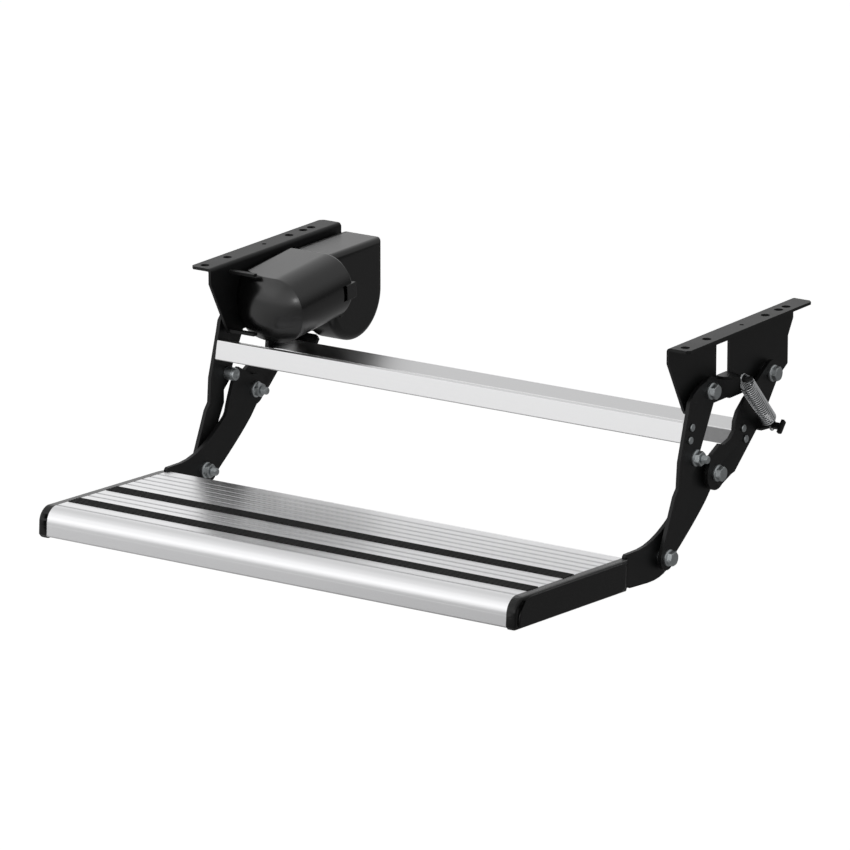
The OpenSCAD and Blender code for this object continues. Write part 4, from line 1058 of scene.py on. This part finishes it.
@dataclass
class Tread(Assembly):
    """The board with its strips, side plates and end caps."""

    board_rounding: float = 0.25
    strip_rounding: float = 0.2
    plate_rounding: float = 0.6
    cap: CapSize = field(default_factory=CapSize)

    def build(self) -> None:
        """Rounds every part of the tread."""
        self.shop.rounded("tread_board", "profile", "satin_aluminium", self.board_rounding)
        for node in ("front_grip_strip", "rear_grip_strip"):
            self.shop.rounded(node, "ribs", "ribbed_rubber", self.strip_rounding)
        for side in ("left", "right"):
            self.shop.rounded(f"{side}_side_plate", "sheet", "powder_coat", self.plate_rounding, 3)
        self._caps()
        self.shop.plain("dark_zinc", "side_plate_screws", "tread_spacers")

    def _place(self) -> Matrix:
        """Gives the transform from the tread's own axes to the step's."""
        pivot = Vector((0, *LINKAGE.front_link)) * MM
        return Matrix.Translation(pivot) @ Matrix.Rotation(math.radians(-TREAD_SLOPE), 4, "X")

    def _caps(self) -> None:
        """Makes both end caps, the left one from the right one's mirror image."""
        c, place = self.cap, self._place()
        cap = Bench.moved(self.shop.bare_copy("right_end_cap", "cap"), place.inverted())
        Bench.cut(cap, Vector((0, c.front + c.chin, c.floor)) * MM, Vector((0, -1, -1)))
        seam = c.face_x - c.edge_r
        Bench.cut(cap, Vector((seam, 0, 0)) * MM, Vector((1, 0, 0)))
        Bench.crown(cap, c.edge_r, 5, Bench.lies_at(x=seam))
        Bench.combine(cap, self._valley(), "DIFFERENCE")
        Bench.combine(cap, self._hollow(), "DIFFERENCE")
        Bench.cut(cap, *self._relief())
        Bench.bevel(cap, c.rounding, 2, c.rounding_angle)
        cap = Bench.moved(Bench.join("cap", [cap, self._panel()]), place)
        mirror = Matrix.Diagonal(Vector((-1, 1, 1, 1)))
        for side, turn in (("right", Matrix()), ("left", mirror)):
            piece = Bench.finished(Bench.copy_to(cap, f"{side}_end_cap_moulding", turn))
            self.shop.hand_over(piece, "cap_plastic", f"{side}_end_cap")
        bpy.data.objects.remove(cap)

    def _relief(self) -> tuple[Vector, Vector]:
        """Gives a point and the normal of the plane that clears the folded front arm."""
        (x0, u0), (x1, u1) = self.cap.relief
        return Vector((x0, u0, 0)) * MM, Vector((u0 - u1, x1 - x0, 0)).normalized()

    def _hollow(self) -> Piece:
        """Makes the cutter of the oval hollow over the nose.

        Returns:
            The solid.
        """
        c = self.cap
        hollow = Bench.turned("hollow", -c.cutter / 2, 1.0, [(c.cutter / 2, 1.0)])
        hollow.scale = (1, *c.hollow_r)
        hollow.rotation_euler = (math.radians(c.hollow_turn), 0, 0)
        hollow.location = Vector((c.hollow_x + c.cutter / 2, *c.hollow)) * MM
        Bench.settle(hollow)
        return hollow

    def _valley(self) -> Piece:
        """Makes the cutter of the hollow between the cap's nose and its panel.

        Returns:
            The solid.
        """
        c = self.cap
        (u, v), near, far, r = c.nose, c.valley_x, c.valley_x + c.cutter, c.valley_r
        disc = Bench.turned("valley", near, r, [(far, r)], sides=96)
        valley = Bench.moved(disc, Matrix.Translation(Vector((0, u, v)) * MM))
        lower = Bench.box("lower", (near, u - r, c.bottom - c.valley_reach[0]), (far, u, v))
        rear = Bench.box("rear", (near, u - c.valley_lap, v), (far, u + c.valley_reach[1], v + r))
        Bench.combine(valley, lower, "UNION")
        Bench.combine(valley, rear, "UNION")
        return valley

    def _panel(self) -> Piece:
        """Makes the cap's raised panel.

        Returns:
            The solid, with a large corner behind the nose.
        """
        c = self.cap
        front = c.nose[0] - c.valley_r + c.valley_w
        panel = Bench.box("panel", (c.face_x - c.depth, front, c.bottom),
                          (c.panel_x, c.rear, c.top))
        for v, radius in ((c.top, c.big_corner), (c.bottom, c.small_corner)):
            Bench.round_edges(panel, radius, 10, Bench.lies_at(y=front, z=v))
        point, normal = self._relief()
        Bench.cut(panel, point, normal)
        for v in (c.top, c.bottom):
            at_height = Bench.lies_at(z=v)
            Bench.round_edges(panel, c.small_corner, 8, lambda e: all(
                abs((w.co - point).dot(normal)) < NEAR for w in e.verts) and at_height(e))
        Bench.combine(panel, self._hollow(), "DIFFERENCE")
        on_face, reach = Bench.lies_at(x=c.panel_x), (max(c.hollow_r) + c.rim_play) * MM
        hollow = Vector((c.panel_x, *c.hollow)) * MM
        Bench.round_edges(panel, c.panel_edge, 4, lambda e: on_face(e) and all(
            (w.co - hollow).length > reach for w in e.verts))
        return panel


@dataclass(frozen=True)
class FastenerSize:
    """Sizes of the flange bolts and nuts, and of what runs through them."""

    thread: float = 8.0
    pitch: float = 1.25
    ridge: Point2 = (0.45, 0.55)
    play: float = 0.05
    root: float = 0.65
    across_flats: float = 13.0
    flange_d: float = 16.5
    flange_t: float = 2.5
    height: float = 8.0
    stub: float = 7.0
    crown: float = 0.9
    crown_share: float = 0.93
    edge: float = 0.25
    lap: float = 0.6
    overlap: float = 0.5
    chamfer: Point2 = (0.4, 0.5)
    sleeve_edge: float = 0.4
    dome: float = 1.2
    blank_play: float = 0.2
    flange_share: float = 0.8
    sink: float = 0.1
    spacer_d: float = 16.0
    spacer_in: float = 271.0
    split: Point2 = (272.35, 272.65)
    drive_d: float = 6.0
    drive_reach: float = 18.0
    button_seat: float = 265.5
    button_r: float = 6.2
    button: tuple[Point2, ...] = ((2.2, 6.2), (2.7, 5.9), (3.0, 5.4), (3.0, 3.0), (2.5, 2.7),
                                  (2.5, 0.6), (2.9, 0.3))


@dataclass
class Fasteners(Assembly):
    """Hex heads, nuts, thread ends, stop sleeves and bar screws."""

    size: FastenerSize = field(default_factory=FastenerSize)

    def pattern(self, name: str, bored: bool) -> Piece:
        """Makes the pattern of a flange bolt's head, or of a flange nut with a plain hole.

        Args:
            name: name of the new object.
            bored: whether it is a nut.

        Returns:
            A hexagon with a turned crown on a flange, seated at 0 and standing along +X.
        """
        s = self.size
        flat = s.across_flats / 2
        corner = flat / math.cos(math.radians(30))
        blank = Bench.turned("blank", s.flange_t - s.lap, corner + s.blank_play,
                             [(s.height - s.crown, corner + s.blank_play),
                              (s.height, flat * s.crown_share)])
        prism = Bench.turned(name, s.flange_t - 1.0, corner, [(s.height + 1.0, corner)], sides=6)
        Bench.combine(prism, blank, "INTERSECT")
        flange = Bench.turned("flange", 0.0, s.flange_d / 2,
                              [(s.flange_t * s.flange_share, s.flange_d / 2),
                               (s.flange_t + s.overlap, flat + s.lap)])
        Bench.combine(prism, flange, "UNION")
        if bored:
            r = s.thread / 2 + s.play
            Bench.combine(prism, Bench.turned("bore", -1.0, r, [(s.height + 2, r)]), "DIFFERENCE")
        Bench.bevel(prism, s.edge, 2, 25.0)
        Bench.smooth(prism)
        return prism

    def thread(self, length: float) -> Piece:
        """Makes the pattern of a thread end that starts at 0 and stands along +X.

        Args:
            length: length of the thread in millimetres.

        Returns:
            The solid, with a ridge for each turn and a chamfered end.
        """
        s = self.size
        crest, root = s.thread / 2 - s.play, s.thread / 2 - s.root
        stations: list[Point2] = []
        place = 0.0
        while place + s.pitch < length - s.lap:
            stations += [(place + s.pitch * share, crest) for share in s.ridge]
            stations.append((place + s.pitch, root))
            place += s.pitch
        stations += [(length - s.chamfer[0], root), (length, root - s.chamfer[1])]
        piece = Bench.turned("thread_pattern", 0.0, root, stations, sides=32)
        Bench.smooth(piece)
        return piece

    @staticmethod
    def place(at: Point2, x: float, side: Side, outward: bool, turn: float = 0.0) -> Matrix:
        """Gives the transform of a fastener.

        Args:
            at: the pivot as (y, z).
            x: distance of the seat from the middle.
            side: the end of the step.
            outward: whether it stands away from the middle.
            turn: turn about its axis in degrees.

        Returns:
            The transform, free of mirroring.
        """
        move = Matrix.Translation(Vector((side.value * x, *at)) * MM)
        flip = Matrix.Rotation(math.pi, 4, "Z") if (side.value > 0) != outward else Matrix()
        return move @ flip @ Matrix.Rotation(math.radians(turn), 4, "X")

    def _row(self, at: Point2, x: float, outward: bool, turns: dict[Side, float]) -> list[Matrix]:
        """Gives a pivot's transforms, one for each end that has a turn."""
        return [self.place(at, x, side, outward, turn) for side, turn in turns.items()]

    def build(self) -> None:
        """Makes the fasteners of every pivot."""
        head, nut = self.pattern("head_pattern", False), self.pattern("nut_pattern", True)
        stub = self.thread(self.size.stub)
        link, row = LINKAGE, self._row
        seat, web, arm = link.arm_out + link.face_play, link.web_in, link.arm_out
        left, right = Side.LEFT, Side.RIGHT
        rows: list[tuple[str, str, Piece, list[Matrix]]] = [
            ("frame_pivot_bolts", "heads", head,
             row(link.front_pivot, seat, True, {left: 8, right: 22})
             + row(link.rear_pivot, seat, True, {right: 5})),
            ("frame_pivot_nuts", "crowned", nut,
             row(link.front_pivot, web, False, {left: 12, right: 40})
             + row(link.rear_pivot, web, False, {right: 25})),
            ("stop_nuts", "crowned", nut, row(link.stop, arm, True, {left: 17, right: 17})),
            ("front_link_bolts", "heads", head,
             row(link.front_link, arm, True, {left: 11, right: 11})),
            ("tread_pivot_bolts", "heads", head,
             row(link.rear_link, seat, True, {left: 20, right: 20})),
            ("tread_pivot_nuts", "crowned", nut,
             row(link.rear_link, web, False, {left: 33, right: 33})),
            ("front_link_nuts", "crowned", nut,
             row(link.front_link, web, False, {left: 14, right: 14})),
            ("drive_bolt", "heads", head, row(link.rear_pivot, arm, True, {left: 9})),
        ]
        for node, suffix, pattern, places in rows:
            parts = [Bench.copy_to(pattern, f"{node}_{i}", place)
                     for i, place in enumerate(places)]
            if pattern is head:
                parts += self._shanks(node)
            piece = Bench.join(f"{node}_{suffix}", parts)
            Bench.smooth(piece)
            self.shop.hand_over(piece, "dark_zinc", node)
        self._studs(stub)
        self._stops(stub)
        self._bar_screws()
        for pattern in (head, nut, stub):
            bpy.data.objects.remove(pattern)

    def _rod(self, at: Point2, x0: float, x1: float, side: Side, d: float) -> Piece:
        """Makes a plain shank along X.

        Args:
            at: its axis as (y, z).
            x0: inner end, as a distance from the middle.
            x1: outer end, as a distance from the middle.
            side: the end of the step.
            d: diameter.

        Returns:
            The solid.
        """
        ends = sorted((side.value * x0, side.value * x1))
        rod = Bench.turned("shank", ends[0], d / 2, [(ends[1], d / 2)], sides=32)
        rod.location = Vector((0, *at)) * MM
        Bench.settle(rod)
        return rod

    def _shanks(self, node: str) -> list[Piece]:
        """Makes the shanks that belong with the heads of a node.

        Args:
            node: name of the CAD node.

        Returns:
            The shanks.
        """
        link, s = LINKAGE, self.size
        top, inner, both = link.arm_out + s.lap, link.web_in - s.height, tuple(Side)
        rods = {
            "frame_pivot_bolts": [(link.front_pivot, inner - 1, top, both, s.thread),
                                  (link.rear_pivot, inner - 1, top, (Side.RIGHT,), s.thread)],
            "tread_pivot_bolts": [(link.rear_link, inner, top, both, s.thread)],
            "front_link_bolts": [
                (link.front_link, link.arm_in - s.overlap, top, both, s.thread),
                (link.front_link, s.split[1], link.arm_in, both, s.spacer_d)],
            "drive_bolt": [
                (link.rear_pivot, link.arm_out - s.drive_reach, top, (Side.LEFT,), s.drive_d)],
        }
        return [self._rod(at, low, high, side, d) for at, low, high, sides, d in rods[node]
                for side in sides]

    def _studs(self, stub: Piece) -> None:
        """Makes the studs of the lower front pivot and the thread ends of both lower pivots.

        Args:
            stub: pattern of the thread end.
        """
        link, s = LINKAGE, self.size
        at, inner = link.front_link, link.web_in - s.height + s.sink
        studs: list[Piece] = []
        for side in Side:
            studs += [self._rod(at, s.spacer_in, s.split[0], side, s.spacer_d),
                      self._rod(at, inner, s.spacer_in + s.overlap, side, s.thread),
                      Bench.copy_to(stub, "end", self.place(at, inner, side, False))]
        piece = Bench.join("front_link_studs_threaded", studs)
        self.shop.hand_over(piece, "dark_zinc", "front_link_studs")
        ends = [Bench.copy_to(stub, "end", self.place(link.rear_link, inner, side, False))
                for side in Side]
        piece = Bench.join("tread_pivot_thread_ends", ends)
        self.shop.finishes.dress(piece, "dark_zinc")
        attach(piece, "tread")

    def _stops(self, stub: Piece) -> None:
        """Makes the stop sleeves and their bolts with round heads.

        Args:
            stub: pattern of the thread end.
        """
        link, s = LINKAGE, self.size
        self.shop.rounded("stop_sleeves", "rollers", "dark_zinc", s.sleeve_edge)
        bolts: list[Piece] = []
        for side in Side:
            end = link.arm_out + s.height
            button = Bench.turned("button", 0.0, s.button_r, s.button)
            bolts += [
                Bench.moved(button, self.place(link.stop, s.button_seat, side, False)),
                self._rod(link.stop, s.button_seat - 1, end, side, s.thread),
                Bench.copy_to(stub, "end", self.place(link.stop, end - s.sink, side, True))]
        piece = Bench.join("stop_bolts_round", bolts)
        Bench.smooth(piece)
        self.shop.hand_over(piece, "dark_zinc", "stop_bolts")

    def _bar_screws(self) -> None:
        """Rounds the heads of the bar screws into domes."""
        for node in ("front_bar_screws", "rear_bar_screws"):
            self.shop.rounded(node, "domes", "dark_zinc", self.size.dome, 4)


@dataclass
class ReturnSpring(Assembly):
    """The tension spring with its hooks, from the bracket's tab to the arm's tab."""

    x: float = 293.0
    upper: Point2 = (-4.0, -49.0)
    lower: Point2 = (51.0, -108.45)
    wire_d: float = 1.7
    outer_d: float = 16.5
    curls: int = 21
    points_per_curl: int = 24
    hook_r: Point2 = (4.55, 4.81)
    hook_from: Point2 = (310.0, 90.0)
    hook_step: float = 11.0
    hook_points: int = 21
    coil_start: float = 9.0
    coil_end_margin: float = 10.0
    ease: float = 2.4
    ease_share: float = 0.97
    still_ends: Point2 = (0.12, 0.88)

    def _hook(self, end: int, along: float) -> list[Point3]:
        """Finds the points of a hook round a place along the spring.

        Args:
            end: 0 for the upper hook, 1 for the lower one.
            along: the hook's centre along the spring.

        Returns:
            Points as (side, along, out), in millimetres.
        """
        r = self.hook_r[end]
        turns = [math.radians(self.hook_from[end] - self.hook_step * i)
                 for i in range(self.hook_points)]
        return [(0.0, along + r * math.cos(q), r * math.sin(q)) for q in turns]

    def path(self) -> list[Vector]:
        """Finds the wire's centre line.

        Returns:
            Its points in metres, hook to hook.
        """
        start, end = Vector((0, *self.upper)), Vector((0, *self.lower))
        along = (end - start).normalized()
        length = (end - start).length
        side = Vector((1, 0, 0))
        out = side.cross(along)
        radius = (self.outer_d - self.wire_d) / 2
        coil_end = length - self.coil_end_margin
        pitch = (coil_end - self.coil_start) / self.curls
        local = self._hook(0, 0.0)
        local.append((0.0, self.coil_start - self.ease, radius * self.ease_share))
        for step in range(self.curls * self.points_per_curl + 1):
            q = 2 * math.pi * step / self.points_per_curl
            local.append((radius * math.sin(q), self.coil_start + pitch * q / (2 * math.pi),
                          radius * math.cos(q)))
        local.append((0.0, coil_end + self.ease, radius * self.ease_share))
        local += self._hook(1, length)
        middle = Vector((self.x, *self.upper))
        return [(middle + side * a + along * w + out * b) * MM for a, w, b in local]

    def build(self) -> None:
        """Sweeps the wire, dresses it and hides the CAD spring and its lower hook."""
        points = self.path()
        Bench.clear()
        bpy.ops.curve.primitive_nurbs_path_add()
        wire = bpy.context.active_object
        wire.name = "return_spring_wire"
        curve = wire.data
        curve.splines.clear()
        line = curve.splines.new("POLY")
        line.points.add(len(points) - 1)
        for knot, point in zip(line.points, points):
            knot.co = (*point, 1)
        curve.dimensions = "3D"
        curve.bevel_depth = self.wire_d / 2 * MM
        curve.bevel_resolution = 4
        curve.use_fill_caps = True
        Bench.pick(wire)
        bpy.ops.object.convert(target="MESH")
        wire = bpy.context.active_object
        Bench.settle(wire)
        Bench.mend_normals(wire)
        Bench.smooth(wire, 50.0)
        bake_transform(wire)
        self.shop.finishes.dress(wire, "spring_steel")
        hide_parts("return_spring", "spring_lower_hook")
        LOG.info("spring with %d curls", self.curls)


@dataclass(frozen=True)
class Lamp:
    """A soft box: its place and size in metres and its power in watts."""

    name: str
    place: Point3
    size: Point2
    power: float


@dataclass
class Studio:
    """Floor, light and camera."""

    lamps: tuple[Lamp, ...] = (
        Lamp("key", (-2.4, -2.8, 2.0), (3.2, 2.6), 9.0),
        Lamp("top", (-1.6, -0.95, 2.3), (2.0, 1.7), 1.6),
        Lamp("spark", (0.52, -2.6, 0.5), (0.13, 0.13), 2.2))
    aim: Point3 = (0.0, -0.08, -0.1)
    sensor: float = 36.0
    clip: Point2 = (0.1, 200.0)
    floor_size: float = 60.0
    azimuth: float = 33.41
    elevation: float = 14.673
    distance: float = 7.4344
    focal_px: float = 7554.0
    frame_px: float = 850.0
    origin_px: Point2 = (492.2, 285.45)
    floor_z: float = -0.42
    fill: float = 0.16
    floor_grey: float = 0.8
    floor_rough: float = 0.9
    floor_specular: float = 0.1
    floor_glow: float = 0.87
    floor_front: Point3 = (-0.98, -0.20, 0.0)
    floor_span: Point2 = (-0.5, 1.4)
    floor_levels: Point2 = (0.05, 0.42)
    dark_side: Point3 = (0.83, 0.56, 0.0)
    dark_edge: Point2 = (0.15, 0.55)
    dark_height: Point2 = (0.0, 0.5)
    dark_levels: Point2 = (0.07, 0.50)
    sky_height: Point2 = (0.38, 0.6)
    sky_levels: Point2 = (1.0, 0.72)

    def build(self) -> None:
        """Sets the world, the floor, the lamps and the camera."""
        bpy.context.scene.view_settings.view_transform = "Standard"
        self._world()
        self._floor()
        for lamp in self.lamps:
            self._hang(lamp)
        self._camera()

    def _world(self) -> None:
        """Sets a sky that is white where the camera looks and dark to the right, like a studio."""
        world = bpy.data.worlds.new("studio")
        bpy.context.scene.world = world
        world.use_nodes = True
        tree = world.node_tree
        shown = Nodes.feed(tree, tree.nodes["Background"], {"Color": self._sky_shade(tree),
                                                            "Strength": 1.0})
        fill = Nodes.add(tree, "Background", {"Color": (1, 1, 1, 1), "Strength": self.fill})
        rays = Nodes.add(tree, "LightPath", {}).outputs
        seen = Nodes.math(tree, "MAXIMUM", rays["Is Camera Ray"], rays["Is Glossy Ray"])
        seen = Nodes.math(tree, "MAXIMUM", seen, rays["Is Transmission Ray"])
        mix = Nodes.add(tree, "MixShader", {0: seen, 1: fill.outputs[0], 2: shown.outputs[0]})
        Nodes.feed(tree, tree.nodes["World Output"], {"Surface": mix.outputs[0]})

    def _sky_shade(self, tree: Tree) -> Socket:
        """Adds the sky's brightness by direction.

        Args:
            tree: the world's node tree.

        Returns:
            A grey that is palest near the horizon, and dark to the right.
        """
        where = Nodes.add(tree, "TexCoord", {}).outputs["Generated"]
        upward = Nodes.add(tree, "SeparateXYZ", {0: where}).outputs["Z"]
        side = Nodes.ramp(tree, Nodes.along(tree, where, self.dark_side), self.dark_edge,
                          (0.0, 1.0))
        return Nodes.add(tree, "Mix", {
            "Factor": side, 2: Nodes.ramp(tree, upward, self.sky_height, self.sky_levels),
            3: Nodes.ramp(tree, upward, self.dark_height, self.dark_levels)}).outputs[0]

    def _floor(self) -> None:
        """Lays a pale floor that keeps the object's shadow."""
        Bench.clear()
        bpy.ops.mesh.primitive_plane_add(size=self.floor_size, location=(0, 0, self.floor_z))
        floor = bpy.context.active_object
        floor.name = "floor"
        material = bpy.data.materials.new("pale_floor")
        material.use_nodes = True
        tree = material.node_tree
        rays = Nodes.add(tree, "LightPath", {}).outputs
        place = Nodes.add(tree, "TexCoord", {}).outputs["Object"]
        glow = Nodes.math(tree, "MULTIPLY", rays["Is Camera Ray"], self.floor_glow)
        level = Nodes.ramp(tree, Nodes.along(tree, place, self.floor_front), self.floor_span,
                           self.floor_levels)
        Nodes.feed(tree, tree.nodes["Principled BSDF"], {
            "Base Color": (*grey(self.floor_grey), 1), "Roughness": self.floor_rough,
            "Specular IOR Level": self.floor_specular,
            "Emission Color": (1, 1, 1, 1),
            "Emission Strength": Nodes.math(tree, "MULTIPLY_ADD", rays["Is Glossy Ray"], level,
                                            glow)})
        floor.data.materials.append(material)

    def _hang(self, lamp: Lamp) -> None:
        """Hangs a soft box that faces the object.

        Args:
            lamp: the soft box.
        """
        bpy.ops.object.light_add(type="AREA", location=lamp.place)
        light = bpy.context.active_object
        light.name = lamp.name
        light.data.shape = "RECTANGLE"
        light.data.size, light.data.size_y = lamp.size
        light.data.energy = lamp.power
        way = Vector(self.aim) - Vector(lamp.place)
        light.rotation_euler = way.to_track_quat("-Z", "Y").to_euler()

    def _camera(self) -> None:
        """Stands the camera where the photograph was taken from."""
        a, e = math.radians(self.azimuth), math.radians(self.elevation)
        back = Vector((math.sin(a) * math.cos(e), -math.cos(a) * math.cos(e), math.sin(e)))
        right = Vector((math.cos(a), math.sin(a), 0))
        up = back.cross(right)
        scale = self.distance / self.focal_px
        half = self.frame_px / 2
        target = (right * (half - self.origin_px[0]) + up * (self.origin_px[1] - half)) * scale
        spot = back * self.distance
        bpy.ops.object.camera_add(location=spot)
        camera = bpy.context.active_object
        camera.rotation_euler = (target - spot).to_track_quat("-Z", "Y").to_euler()
        camera.data.sensor_width = self.sensor
        camera.data.lens = self.focal_px / self.frame_px * self.sensor
        camera.data.clip_start, camera.data.clip_end = self.clip
        bpy.context.scene.camera = camera


def main() -> None:
    """Builds the step and its studio in order."""
    logging.basicConfig(level=logging.INFO, format="%(name)s: %(message)s")
    shop = Workshop(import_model())
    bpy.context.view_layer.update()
    for kind in (Brackets, MotorUnit, Arms, CrossBars, Tread, Fasteners, ReturnSpring):
        kind(shop).build()
        LOG.info("%s done", kind.__name__)
    Studio().build()


if __name__ == "__main__":
    main()
